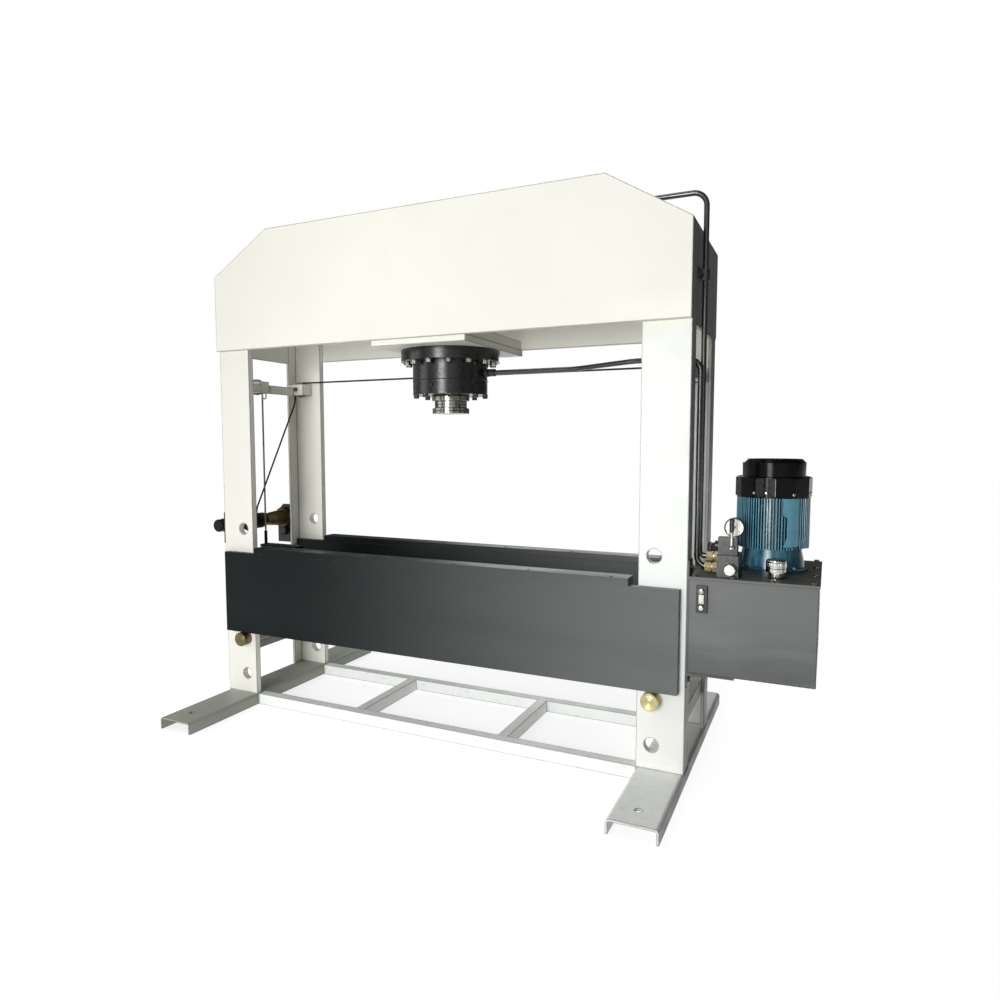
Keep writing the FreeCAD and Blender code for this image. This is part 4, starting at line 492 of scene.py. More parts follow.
# The bed's tone that grows to the right is a painted sheen.
add_look("bed_paint", dark_plate, (14, 21, 21), (36, 42, 42), 0.38, 0.12, film=(126, 130, 129))
add_look("tank_paint", dark_plate, (112, 115, 113), (136, 138, 136), 0.36, 0.25, (1.5, 1.5, 0.8),
         low_shade=(0.62, 0.36))
add_look("rod_chrome", streaked_chrome, (190, 190, 185), (20, 20, 20), 0.1)
add_look("nose_steel", streaked_chrome, (150, 148, 140), (30, 28, 25), 0.2)
add_look("fitting_zinc", oily_zinc, (226, 212, 162), (58, 58, 54))
# The pin's last tone is painted shade on the left pin.
add_look("pin_zinc", pin_metal, (190, 178, 134), (140, 128, 92), (110, 100, 74))
add_look("pulley_steel", bare_metal, (112, 108, 98), (58, 50, 40), 0.42, (8, 1, 8))
add_look("rope_steel", rope_wire, (52, 46, 38), (20, 17, 13))
add_look("drum_zinc", drum_metal, (104, 90, 56), (54, 44, 28), (30, 30, 28))
add_look("zinc_bolts", bare_metal, (112, 110, 104), (70, 68, 64), 0.32)
add_look("cap_chrome", streaked_chrome, (206, 206, 202), (40, 40, 38), 0.12)
add_look("motor_blue", enamel_motor, (74, 150, 176), (48, 112, 136))
add_look("bare_steel", bare_metal, (150, 148, 142), (90, 84, 74), 0.32, (1, 1, 10))
for own_slot, tone, roughness, texture, strength, specks, specular in (
        ("cylinder_paint", (24, 26, 25), 0.2, 520.0, 0.2, 0.2, 0.4),
        ("black_bolts", (30, 30, 30), 0.26, 320.0, 0.12, 0.3, 0.5),
        ("pipe_steel", (30, 33, 32), 0.16, 90.0, 0.04, 0.08, 0.95),
        ("clamp_steel", (40, 42, 42), 0.36, 240.0, 0.12, 0.2, 0.5),
        ("hoist_black", (28, 30, 29), 0.3, 220.0, 0.12, 0.15, 0.5),
        ("gauge_body", (30, 32, 32), 0.3, 200.0, 0.08, 0.1, 0.5),
        ("filter_black", (28, 28, 28), 0.3, 260.0, 0.1, 0.1, 0.5),
        ("cowl_black", (10, 11, 11), 0.12, 200.0, 0.03, 0.06, 0.1),
        ("pump_cast", (92, 92, 90), 0.5, 120.0, 0.3, 0.2, 0.5),
        ("block_steel", (50, 50, 47), 0.34, 160.0, 0.12, 0.2, 0.5),
        ("valve_black", (19, 19, 19), 0.3, 160.0, 0.2, 0.3, 0.5),
        ("lever_black", (20, 20, 21), 0.18, 400.0, 0.05, 0.1, 0.5),
        ("gauge_case", (34, 34, 33), 0.22, 300.0, 0.04, 0.1, 0.5),
        ("needle_black", (16, 16, 17), 0.4, 400.0, 0.02, 0.05, 0.5)):
    add_look(own_slot, glossy_black, tone, roughness, texture, strength, specks, specular)
knob_chrome = bare_metal("knob_chrome", (222, 222, 218), (150, 148, 142), 0.1, grain=0.03)
# Rubber of the seals and gaskets; the same black rings on the nose and the filler cap paint the shade of their
# grooves.
rubber_and_groove_shade = printed("rubber_and_groove_shade", (22, 22, 22), (40, 40, 38))
dial_white = printed("dial_white", (240, 240, 236), (226, 224, 212))
dial_black = printed("dial_black", (20, 20, 20), (34, 34, 34))
oil_amber = printed("oil_amber", (224, 218, 196), (208, 198, 168))
# Painted shade: black faces behind the motor's side panel and between the fins right of it.
painted_groove_shade = printed("painted_groove_shade", (8, 26, 36), (16, 42, 54))
gauge_glass = clear_glass("gauge_glass", (252, 252, 250))
lid_paint = dark_plate("lid_paint", (116, 118, 115), (128, 128, 124), 0.36, 0.15, (1.5, 1.5, 0.8),
                       top_shade=(74, 73, 67))
fall_rope = rope_wire("fall_rope", (150, 132, 104), (84, 66, 46))
bolt_steel = bare_metal("bolt_steel", (168, 168, 162), (110, 108, 100), 0.3)

for row in frame["record"]["subparts"]:
    for material_slot in nodes[row["node"]].material_slots:
        material_slot.material = look[row["material_slot"]]
for own_node, own_look in (("relief_knob", knob_chrome), ("tank_lid", lid_paint),
                           ("flange_bolts", bolt_steel)):
    nodes[own_node].material_slots[0].material = own_look


# ---------------------------------------------------------------- mesh tools
def piece_from(name, shape, slot, body="frame", material=None, flat=False):
    """Turns a bmesh into a piece of the press that rides on a body."""
    bmesh.ops.recalc_face_normals(shape, faces=shape.faces[:])
    mesh = bpy.data.meshes.new(name)
    shape.to_mesh(mesh)
    shape.free()
    mesh.materials.append(material or look[slot])
    mesh.polygons.foreach_set("use_smooth", [not flat] * len(mesh.polygons))
    if not flat:
        mesh.set_sharp_from_angle(angle=math.radians(32))
    piece = bpy.data.objects.new(name, mesh)
    scene.collection.objects.link(piece)
    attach(piece, body)
    return piece


def basis(axis):
    """Two directions square to axis and to each other."""
    side = axis.cross(Z_AXIS if abs(axis.z) < 0.5 else X_AXIS).normalized()
    return side, axis.cross(side).normalized()


def skin(shape, rings, closed=False):
    """Quads between rings of vertices; the ends are capped unless the chain is closed."""
    pairs = list(zip(rings, rings[1:]))
    if closed:
        pairs.append((rings[-1], rings[0]))
    for first, second in pairs:
        count = len(first)
        for index in range(count):
            after = (index + 1) % count
            shape.faces.new((first[index], first[after], second[after], second[index]))
    if not closed:
        shape.faces.new(rings[0])
        shape.faces.new(reversed(rings[-1]))


def ring_of(shape, place, axis, reaches, phase=0.0):
    """Ring of vertices at even angles round an axis, one for each reach."""
    side, up = basis(axis)
    ring = []
    for step, reach in enumerate(reaches):
        angle = phase + 2 * math.pi * step / len(reaches)
        aside = side * (reach * math.cos(angle)) + up * (reach * math.sin(angle))
        ring.append(shape.verts.new(place + aside))
    return ring


def lathe(shape, outline, place, axis, segments=32, closed=False, phase=0.0):
    """Turned form: outline is (radius, height) pairs; closed joins its last pair to its first."""
    skin(shape, [ring_of(shape, place + axis * height, axis, [radius] * segments, phase)
                 for radius, height in outline], closed)


def turned(name, slot, outline, place, axis=Z_AXIS, segments=48, phase=0.0, **extras):
    """Piece with one turned form, whose outline runs all round its section."""
    shape = bmesh.new()
    lathe(shape, outline, place, axis, segments, True, phase)
    return piece_from(name, shape, slot, **extras)


def ring_section(reach, inset, edge, crown):
    """Outline of a ring that is let into a turned face and stands out most in its middle."""
    half = 0.0012
    return [(reach - inset, -half), (reach + edge, -half), (reach + crown, 0), (reach + edge, half),
            (reach - inset, half)]


def knurled(shape, radius, depth, height, place, axis, ribs):
    """Ribbed band with rounded ribs all round."""
    rings = []
    for level in (0, 0.12, 0.88, 1):
        outer = radius - (depth if level in (0, 1) else 0)
        reaches = [outer - depth * (0.5 - 0.5 * math.cos(math.pi * step / 2)) for step in range(ribs * 4)]
        rings.append(ring_of(shape, place + axis * (height * level), axis, reaches))
    skin(shape, rings)


def hex_head(shape, across, height, place, axis):
    """Hexagon with a turned chamfer on its face."""
    half = across / 2
    angles = [math.pi * step / 12 for step in range(24)]
    sides = [half / math.cos((angle + math.pi / 6) % (math.pi / 3) - math.pi / 6) for angle in angles]
    chamfer = [half * 0.86 + (reach - half) * 0.2 for reach in sides]
    skin(shape, [ring_of(shape, place + axis * (height * level), axis, reaches)
                 for level, reaches in ((0, sides), (0.78, sides), (1, chamfer))])


def pan_screw(shape, radius, place, axis):
    """Round screw head with a sunk centre."""
    lathe(shape, [(radius, 0), (radius, radius * 0.35), (radius * 0.8, radius * 0.62),
                  (radius * 0.42, radius * 0.72), (radius * 0.36, radius * 0.5)], place, axis, 16)


def block(shape, low, high, trim):
    """Box with its twelve edges cut off by trim."""
    made = bmesh.ops.create_cube(shape, size=1)["verts"]
    size = high - low
    for vert in made:
        vert.co = Vector((low[k] + size[k] * (vert.co[k] + 0.5) for k in range(3)))
    edges = list({edge for vert in made for edge in vert.link_edges})
    bmesh.ops.bevel(shape, geom=edges, offset=trim, segments=2, affect="EDGES", profile=0.5)


def fin(shape, axis_foot, azimuth, low, high, root=0.1, tip=0.1164):
    """Thin upright fin, thicker at its root."""
    out = outward(azimuth)
    across = Z_AXIS.cross(out)
    rings = []
    for z in (low, high):
        rings.append([shape.verts.new(axis_foot + out * reach + across * half + Z_AXIS * z) for reach, half in
                      ((root, 0.0022), (tip, 0.0013), (tip, -0.0013), (root, -0.0022))])
    skin(shape, rings)


def curved_panel(name, axis_foot, rows, end, outer, material=None):
    """Closed panel on the motor's skin; rows are (height, azimuth where the row starts)."""
    columns = 8
    shape = bmesh.new()
    rings = []
    for z, start in rows:
        ways = [outward(start + (end - start) * step / columns) for step in range(columns + 1)]
        places = [way * outer for way in ways] + [way * MOTOR_SKIN for way in reversed(ways)]
        rings.append([shape.verts.new(axis_foot + place + Z_AXIS * z) for place in places])
    skin(shape, rings)
    piece_from(name, shape, "motor_blue", material=material, flat=True)


def moving_frames(line):
    """A point, a side and an up direction for each place on a line, turned as little as possible."""
    frames = []
    side = None
    for index, point in enumerate(line):
        before = line[max(index - 1, 0)]
        after = line[min(index + 1, len(line) - 1)]
        along = (after - before).normalized()
        if side is None:
            side = basis(along)[0]
        side = (side - along * side.dot(along)).normalized()
        frames.append((point, side, along.cross(side)))
    return frames


def tube_along(shape, frames, radii, sides):
    rings = []
    for (point, side, up), radius in zip(frames, radii):
        rings.append([shape.verts.new(point + side * (radius * math.cos(2 * math.pi * step / sides))
                                      + up * (radius * math.sin(2 * math.pi * step / sides)))
                      for step in range(sides)])
    skin(shape, rings)


def weld(shape, start, end, radius):
    """Bead with the ripples of its passes, fuller and thinner along its length."""
    length = (end - start).length
    count = max(int(length / WELD_RIPPLE) * 4, 8)
    line = [start.lerp(end, step / count) for step in range(count + 1)]
    radii = []
    for step in range(count + 1):
        ripple = 0.86 + 0.14 * abs(math.sin(math.pi * step / 4))
        drift = 1 + 0.09 * math.sin(step * 0.37 + length * 40)
        ends = min(1, 0.35 + min(step, count - step) / 5)
        radii.append(radius * ripple * drift * ends)
    tube_along(shape, moving_frames(line), radii, 6)


# ---------------------------------------------------------------- ropes
def winding(axis_x, axis_z, leave_y):
    """Centre line of a rope's turns on the drum, from its tucked end to where it goes up."""
    line = []
    per_turn = 48
    for step in range(WINDING_TURNS * per_turn + 1):
        turns = step / per_turn - WINDING_TURNS
        angle = 2 * math.pi * turns
        line.append(Vector((axis_x + WINDING_RADIUS * math.cos(angle), leave_y - WINDING_PITCH * turns,
                            axis_z + WINDING_RADIUS * math.sin(angle))))
    tail = line[0] - (line[1] - line[0]).normalized() * 2 * ROPE_RADIUS
    return [tail] + line


def half_round(centre):
    """Half a turn over a pulley, from its left side to its right side."""
    line = []
    for step in range(HALF_ROUND_STEPS + 1):
        angle = math.pi - math.pi * step / HALF_ROUND_STEPS
        line.append(centre + Vector((PULLEY_RADIUS * math.cos(angle), 0, PULLEY_RADIUS * math.sin(angle))))
    return line


def eased(before, corner, after):
    """Tangent arc at a corner of a taut run."""
    towards = (corner - before).normalized()
    away = (after - corner).normalized()
    turn = towards.angle(away)
    inward = (away - towards).normalized()
    centre = corner + inward * (CROSS_EASING / math.cos(turn / 2))
    start = corner - towards * (CROSS_EASING * math.tan(turn / 2)) - centre
    axis = towards.cross(away).normalized()
    return [centre + Matrix.Rotation(turn * step / 8, 3, axis) @ start for step in range(9)]


def even_steps(line, step):
    """The same line with points at a steady distance."""
    lengths = [0.0]
    for first, second in zip(line, line[1:]):
        lengths.append(lengths[-1] + (second - first).length)
    count = max(int(lengths[-1] / step), 2)
    out = []
    index = 0
    for number in range(count + 1):
        goal = lengths[-1] * number / count
        while index < len(line) - 2 and lengths[index + 1] < goal:
            index += 1
        span = lengths[index + 1] - lengths[index]
        out.append(line[index].lerp(line[index + 1], (goal - lengths[index]) / span))
    return out


def rope(name, replaced, line):
    """Laid rope: strands that wind round a core along the line."""
    line = even_steps(line, ROPE_STEP)
    frames = moving_frames(line)
    shape = bmesh.new()
    travelled = [0.0]
    for first, second in zip(line, line[1:]):
        travelled.append(travelled[-1] + (second - first).length)
    offset = ROPE_RADIUS - STRAND_RADIUS
    for strand in range(STRAND_COUNT):
        path = []
        for (point, side, up), length in zip(frames, travelled):
            angle = 2 * math.pi * (strand / STRAND_COUNT + length / STRAND_LAY)
            path.append(point + side * (offset * math.cos(angle)) + up * (offset * math.sin(angle)))
        tube_along(shape, moving_frames(path), [STRAND_RADIUS * 1.04] * len(path), 6)
    piece = piece_from(name, shape, "rope_steel")
    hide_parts(replaced)
    return piece


def make_ropes():
    up_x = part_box("left_rope")[0].x + ROPE_RADIUS + 2 * WINDING_RADIUS
    drum = Vector((up_x - WINDING_RADIUS, 0, middle("hoist_drum").z))
    front = middle("front_left_pulley")
    rear = middle("rear_left_pulley")
    right = middle("right_pulley")
    front_y = middle("left_rope_fall").y
    line = winding(drum.x, drum.z, front_y)
    line += half_round(Vector((front.x, front_y, front.z)))
    rope("left_rope_strands", "left_rope", line)

    cross_y = front_y + WINDING_PITCH / 2
    leave = Vector((up_x, cross_y, drum.z))
    low = leave + Z_AXIS * EASING_REACH
    landing = rear - X_AXIS * PULLEY_RADIUS
    high = landing - Z_AXIS * EASING_REACH
    line = winding(drum.x, drum.z, cross_y)
    line += eased(leave, low, high)
    line += eased(low, high, landing)
    line += half_round(rear)[:HALF_ROUND_STEPS // 2 + 1]
    line += half_round(Vector((right.x, rear.y, right.z)))[HALF_ROUND_STEPS // 2:]
    rope("cross_rope_strands", "cross_rope", line)

    for node in ("left_rope_fall", "right_rope_fall"):
        centre = middle(node)
        low_corner, high_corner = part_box(node)
        top = Vector((centre.x, centre.y, high_corner.z))
        foot = Vector((centre.x, centre.y, low_corner.z))
        piece = rope(node + "_strands", node, [foot, top])
        piece.material_slots[0].material = fall_rope
        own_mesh(piece)


# ---------------------------------------------------------------- details
def make_cylinder_details():
    """Joint ring, rod wiper, black rings turned on the nose that paint the shade of its grooves, and the bleed
    plug.
    """
    joint = Vector((0, 0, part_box("cylinder_barrel")[0].z))
    gland_low, gland_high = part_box("cylinder_gland")
    radius = (gland_high.x - gland_low.x) / 2
    turned("gland_joint_ring", "cylinder_paint", ring_section(radius, 0.004, 0.0008, 0.0014), joint,
           segments=96, material=rubber_and_groove_shade)
    turned("rod_wiper", "cylinder_paint",
           [(ROD_RADIUS, 0), (ROD_RADIUS + 0.0012, -0.0036), (ROD_RADIUS + 0.004, -0.0042),
            (ROD_RADIUS + 0.011, -0.0026), (ROD_RADIUS + 0.012, 0)],
           Vector((0, 0, gland_low.z)), segments=72, material=rubber_and_groove_shade)

    # Painted shade: black rings stand for the shade in the nose's turned grooves.
    nose_foot = Vector((0, 0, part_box("ram_nose")[0].z))
    shape = bmesh.new()
    for reach, height in NOSE_RINGS:
        place = nose_foot + Z_AXIS * height
        lathe(shape, ring_section(reach, 0.002, 0.0003, 0.0005), place, Z_AXIS, 96, closed=True)
    piece_from("nose_turned_rings", shape, "nose_steel", body="ram", material=rubber_and_groove_shade)

    shape = bmesh.new()
    seat = joint + Vector((0, -radius + 0.0006, -0.023))
    lathe(shape, [(0.0105, 0), (0.0105, 0.0018), (0.0098, 0.0026), (0.003, 0.0026)], seat, -Y_AXIS, 24)
    hex_head(shape, 0.014, 0.0085, seat - Y_AXIS * 0.0022, -Y_AXIS)
    piece_from("bleed_plug", shape, "black_bolts")


def washer_ring(name, count, circle, phase, seat_z, outer, inner, thickness):
    """Washers under a ring of bolts; circle is the diameter that the bolts stand on."""
    shape = bmesh.new()
    for number in range(count):
        place = outward(phase + 360 * number / count) * (circle / 2) + Z_AXIS * seat_z
        lathe(shape, [(inner, 0), (outer, 0), (outer, thickness * 0.7), (outer - thickness * 0.3, thickness),
                      (inner, thickness)], place, -Z_AXIS, 24, closed=True)
    piece_from(name, shape, "zinc_bolts")


def make_pin_faces():
    """Turned face of each bed pin: shallow rings round a centre mark."""
    outline = [(0.0262, -0.001), (0.0262, 0.0003)]
    for ring in range(5):
        reach = 0.0252 - 0.0046 * ring
        outline += [(reach, 0.0009), (reach - 0.0022, 0.0002), (reach - 0.0036, 0.0004)]
    outline += [(0.0014, -0.0006), (0.0014, -0.001)]
    for side in ("left", "right"):
        centre = middle(side + "_bed_pin")
        centre.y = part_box(side + "_bed_pin")[0].y
        turned(side + "_pin_face", "pin_zinc", outline, centre, -Y_AXIS, 72, body=side + "_pin")


def make_pulley_end_plate():
    """Small plate that closes the inner end of the rear left pulley's holder, below the rope."""
    low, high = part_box("right_pulley_beam")
    front_y = middle("rear_left_pulley").y - 0.0278
    shape = bmesh.new()
    block(shape, Vector((-low.x, front_y, low.z + 0.0005)),
          Vector((-low.x + 0.004, front_y + 0.0556, high.z + 0.0005)), 0.0006)
    piece_from("pulley_end_plate", shape, "frame_paint")


def make_gauge_details():
    """Dial with its marks and numbers, bezel and window of the pressure gauge."""
    low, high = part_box("pressure_gauge")
    radius = (high.x - low.x) / 2
    centre = Vector(((low.x + high.x) / 2, low.y, high.z - radius))
    face = centre + Y_AXIS * (DIAL_DEPTH - 0.00015)
    turned("gauge_dial", "gauge_case",
           [(0.0022, 0.00015), (radius - 0.0034, 0.00015), (radius - 0.0034, 0), (0.0022, 0)],
           face + Y_AXIS * 0.00015, -Y_AXIS, 64, material=dial_white)

    shape = bmesh.new()
    start = -DIAL_SWEEP / 2
    for number in range(DIAL_STEPS + 1):
        angle = math.radians(start + DIAL_SWEEP * number / DIAL_STEPS)
        ray = Vector((math.sin(angle), 0, math.cos(angle)))
        across = Vector((math.cos(angle), 0, -math.sin(angle)))
        long_tick = number % 5 == 0
        inner = radius - (0.0095 if long_tick else 0.0075)
        half = 0.00045 if long_tick else 0.00025
        rings = []
        for lift in (0, 0.00006):
            corners = ((inner, -half), (inner, half), (radius - 0.0045, half), (radius - 0.0045, -half))
            rings.append([shape.verts.new(face + ray * out + across * aside - Y_AXIS * lift)
                          for out, aside in corners])
        skin(shape, rings)
    piece_from("gauge_ticks", shape, "needle_black", material=dial_black, flat=True)

    for number, label in enumerate(DIAL_LABELS):
        angle = math.radians(start + DIAL_SWEEP * number / (len(DIAL_LABELS) - 1))
        text = bpy.data.curves.new("gauge_number_" + label, "FONT")
        text.body = label
        text.size = DIAL_LETTERS
        text.extrude = 0.00003
        text.resolution_u = 3
        text.align_x = "CENTER"
        text.align_y = "CENTER"
        text.materials.append(dial_black)
        piece = bpy.data.objects.new("gauge_number_" + label, text)
        reach = radius - 0.0132
        piece.location = face + Vector((reach * math.sin(angle), -0.00005, reach * math.cos(angle)))
        piece.rotation_euler = (math.pi / 2, 0, 0)
        scene.collection.objects.link(piece)
        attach(piece, "frame")

    turned("gauge_bezel", "gauge_case",
           [(radius - 0.0034, 0.0012), (radius - 0.003, 0.0044), (radius - 0.0012, 0.0056), (radius, 0.0046),
            (radius + 0.0004, -0.004), (radius - 0.0006, -0.0046), (radius - 0.0034, -0.0046)],
           centre + Y_AXIS * 0.004, -Y_AXIS, 64)
    shape = bmesh.new()
    rim = radius - 0.0032
    outline = [(rim, 0.0), (rim, 0.0012)]
    outline += [(rim * share, 0.0012 + 0.0016 * (1 - share * share)) for share in (0.8, 0.55, 0.3, 0.02)]
    lathe(shape, outline + [(0.0006, 0.0)], centre + Y_AXIS * 0.0022, -Y_AXIS, 48)
    piece_from("gauge_window", shape, "gauge_case", material=gauge_glass).visible_shadow = False


def make_level_gauge_details():
    """White window in a raised black frame, with a little oil showing, and a bright screw in each boss."""
    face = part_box("level_gauge")[0].y
    centre = middle("level_gauge")
    for name, half_width, half_height, drop, lift, material in (
            ("level_frame", 0.0102, 0.0172, 0, 0.0006, None),
            ("level_window", 0.0078, 0.0148, 0, 0.0012, dial_white),
            ("level_oil", 0.0074, 0.0036, 0.0108, 0.0014, oil_amber)):
        shape = bmesh.new()
        z = centre.z - drop
        block(shape, Vector((centre.x - half_width, face + 0.004 - lift, z - half_height)),
              Vector((centre.x + half_width, face + 0.005, z + half_height)), 0.0004)
        piece_from(name, shape, "gauge_body", material=material)
    shape = bmesh.new()
    for sign in (-1, 1):
        pan_screw(shape, 0.0086, Vector((centre.x, face + 0.0004, centre.z + sign * 0.027)), -Y_AXIS)
    piece_from("level_gauge_screws", shape, "gauge_body", material=knob_chrome)


def make_cowl_screws(axis_foot, cowl_foot, radius):
    shape = bmesh.new()
    for azimuth, height in COWL_SCREWS:
        out = outward(azimuth)
        pan_screw(shape, 0.0048, axis_foot + Z_AXIS * (cowl_foot + height) + out * (radius + 0.0004), out)
    piece_from("cowl_screws", shape, "cap_chrome", material=knob_chrome)


def make_motor_sides(axis_foot, cowl_foot):
    """Thin fins between the housing's own; the smooth panel and fins right of it, over faces of painted shade.
    """
    shape = bmesh.new()
    for number in range(MOTOR_FIN_COUNT):
        azimuth = 360 / MOTOR_FIN_COUNT * (number + 0.5)
        if all(abs(azimuth - gap) > half for gap, half in MOTOR_FIN_GAPS):
            fin(shape, axis_foot, azimuth, MOTOR_FINS_START + 0.0005, cowl_foot - 0.0005)
    piece_from("motor_fins", shape, "motor_blue", flat=True)

    height = cowl_foot - MOTOR_FINS_START
    rows = [(MOTOR_FINS_START + height * share, start) for share, start in
            ((0.06, 20), (0.24, 26), (0.62, 26), (0.68, 19), (0.995, 19))]
    curved_panel("motor_side_panel", axis_foot, rows, 44, PANEL_FACE)
    # Painted shade: a black face shows round the smooth panel, another between the fins right of it.
    shadow_rows = [(z - 0.0015, start - 1.1) for z, start in rows]
    curved_panel("motor_panel_shadow", axis_foot, shadow_rows, 42, PANEL_SHADOW, painted_groove_shade)
    low = MOTOR_FINS_START + 0.003
    high = cowl_foot - 0.0008
    curved_panel("motor_side_grooves", axis_foot, [(low, 48), (high, 48)], 77, SIDE_FIN_GROUND, painted_groove_shade)
    shape = bmesh.new()
    for azimuth in SIDE_FIN_ANGLES:
        fin(shape, axis_foot, azimuth, low + 0.0005, high, SIDE_FIN_ROOT, PANEL_FACE)
    piece_from("motor_side_fins", shape, "motor_blue", flat=True)


def make_cowl_details(axis_foot, cowl_foot, radius):
    """Flats round the fan's cowl, a bright strip that paints the highlight on one flat's edge, and the bead on
    its step.
    """
    outer = (radius - 0.0002) / math.cos(math.pi / COWL_SIDES)
    turned("cowl_facets", "cowl_black",
           [(0.1165, 0.002), (outer - 0.001, 0.002), (outer, 0.0035), (outer, COWL_STEP - 0.003),
            (outer - 0.0016, COWL_STEP - 0.001), (0.1165, COWL_STEP - 0.001)],
           axis_foot + Z_AXIS * cowl_foot, Z_AXIS, COWL_SIDES, math.radians(7), flat=True)
    # Painted highlight: a bright steel strip along the edge between two flats.
    shape = bmesh.new()
    place = axis_foot + outward(6.5) * (outer - 0.0003)
    line = [place + Z_AXIS * (cowl_foot + 0.0045 + 0.0058 * step) for step in range(11)]
    tube_along(shape, moving_frames(line), [0.0006] + [0.0012] * 9 + [0.0006], 8)
    piece_from("cowl_edge_highlight", shape, "cowl_black", material=bolt_steel)
    turned("cowl_step_bead", "cowl_black",
           [(radius - 0.004, -0.0006), (radius - 0.0012, 0.0008), (radius - 0.006, 0.0022),
            (radius - 0.015, 0.0016), (radius - 0.0165, -0.0006)],
           axis_foot + Z_AXIS * (cowl_foot + COWL_STEP), segments=96)


def make_motor_fixings(axis_foot, cowl_foot):
    """Cover and screws of the terminal box at the back, and the bolts of the motor's foot."""
    motor_low, motor_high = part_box("motor_body")
    centre = Vector((axis_foot.x, motor_high.y, cowl_foot - TERMINAL_DROP))
    shape = bmesh.new()
    block(shape, centre + Vector((-0.052, -0.0025, -0.044)), centre + Vector((0.052, 0.0, 0.044)), 0.0012)
    piece_from("terminal_cover", shape, "motor_blue")
    shape = bmesh.new()
    for x in (-0.043, 0.043):
        for z in (-0.035, 0.035):
            pan_screw(shape, 0.0036, centre + Vector((x, -0.0027, z)), Y_AXIS)
    piece_from("terminal_screws", shape, "zinc_bolts")
    shape = bmesh.new()
    for azimuth in (45, 135, 225, 315):
        place = axis_foot + outward(azimuth) * MOTOR_FOOT_CIRCLE + Z_AXIS * (motor_low.z + 0.0135)
        lathe(shape, [(0.0085, 0), (0.0085, 0.0014), (0.0045, 0.0014)], place, Z_AXIS, 20)
        hex_head(shape, 0.013, 0.0075, place + Z_AXIS * 0.001, Z_AXIS)
    piece_from("motor_foot_bolts", shape, "motor_blue")


def make_motor_details():
    low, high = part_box("fan_cover")
    radius = (high.x - low.x) / 2
    axis_foot = middle("fan_cover")
    axis_foot.z = 0
    make_cowl_screws(axis_foot, low.z, radius)
    make_motor_sides(axis_foot, low.z)
    make_cowl_details(axis_foot, low.z, radius)
    make_motor_fixings(axis_foot, low.z)


def make_tank_details():
    """Gasket under the lid, and the welds along the tank's edges."""
    low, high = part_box("oil_tank")
    lid_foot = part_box("tank_lid")[0].z
    rim = 0.0006
    inside = 0.01
    thickness = 0.0007
    outer = [Vector((low.x, low.y - rim, 0)), Vector((high.x + rim, low.y - rim, 0)),
             Vector((high.x + rim, high.y + rim, 0)), Vector((low.x, high.y + rim, 0))]
    inner = [Vector((low.x, low.y + inside, 0)), Vector((high.x - inside, low.y + inside, 0)),
             Vector((high.x - inside, high.y - inside, 0)), Vector((low.x, high.y - inside, 0))]
    shape = bmesh.new()
    rings = []
    for corners, z in ((outer, lid_foot - thickness), (outer, lid_foot), (inner, lid_foot),
                       (inner, lid_foot - thickness)):
        rings.append([shape.verts.new(corner + Z_AXIS * z) for corner in corners])
    skin(shape, rings, closed=True)
    piece_from("lid_gasket", shape, "gauge_body", material=rubber_and_groove_shade, flat=True)

    shape = bmesh.new()
    corner = 0.0015
    x = high.x - corner
    for y in (low.y + corner, high.y - corner):
        weld(shape, Vector((x, y, low.z + 0.004)), Vector((x, y, high.z - 0.004)), TANK_WELD)
    weld(shape, Vector((low.x + 0.004, low.y + corner, low.z + corner)),
         Vector((high.x - 0.004, low.y + corner, low.z + corner)), TANK_WELD)
    piece_from("tank_welds", shape, "tank_paint")


def make_filler_details():
    """Ribs of the filler cap, black bands where its grooves are that paint their shade, and its neck and
    gasket on the lid.
    """
    cap_low, cap_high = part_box("filler_cap")
    radius = (cap_high.x - cap_low.x) / 2
    top = middle("filler_cap")
    top.z = cap_high.z
    seat = Vector((top.x, top.y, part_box("tank_lid")[1].z))
    shape = bmesh.new()
    knurled(shape, radius + 0.0003, 0.0012, 0.016, top - Z_AXIS * 0.024, Z_AXIS, 40)
    piece_from("filler_cap_ribs", shape, "cap_chrome", body="cap")
    # Painted shade: black bands stand for the shade in the cap's grooves.
    shape = bmesh.new()
    inner = radius - 0.002
    outer = radius + 0.0007
    groove = [(inner, -0.001), (outer, -0.001), (outer, 0.001), (inner, 0.001)]
    for drop in (0.0065, 0.0265):
        lathe(shape, groove, top - Z_AXIS * drop, Z_AXIS, 64, closed=True)
    piece_from("filler_cap_grooves", shape, "cap_chrome", body="cap", material=rubber_and_groove_shade)
    turned("filler_gasket", "gauge_body",
           [(0.0165, 0), (0.024, 0), (0.0247, 0.001), (0.024, 0.003), (0.0165, 0.003)], seat, segments=40,
           material=rubber_and_groove_shade)
    turned("filler_neck_sleeve", "cap_chrome",
           [(0.0175, 0.0035), (0.0225, 0.0035), (0.0225, 0.0065), (0.0252, 0.0075), (0.0252, 0.0125),
            (0.0228, 0.0135), (0.0228, 0.0172), (0.0258, 0.0182), (0.0258, 0.0212), (0.0175, 0.0212)],
           seat, material=knob_chrome)


def grip_rings(name, slot, foot, inner, crown, half, count, pitch, segments, body="frame"):
    """Sharp rings, one above the other, the lowest at foot."""
    shape = bmesh.new()
    for level in range(count):
        lathe(shape, [(inner, -half), (crown, 0), (inner, half)], foot + Z_AXIS * (pitch * level), Z_AXIS,
              segments, closed=True)
    piece_from(name, shape, slot, body=body)


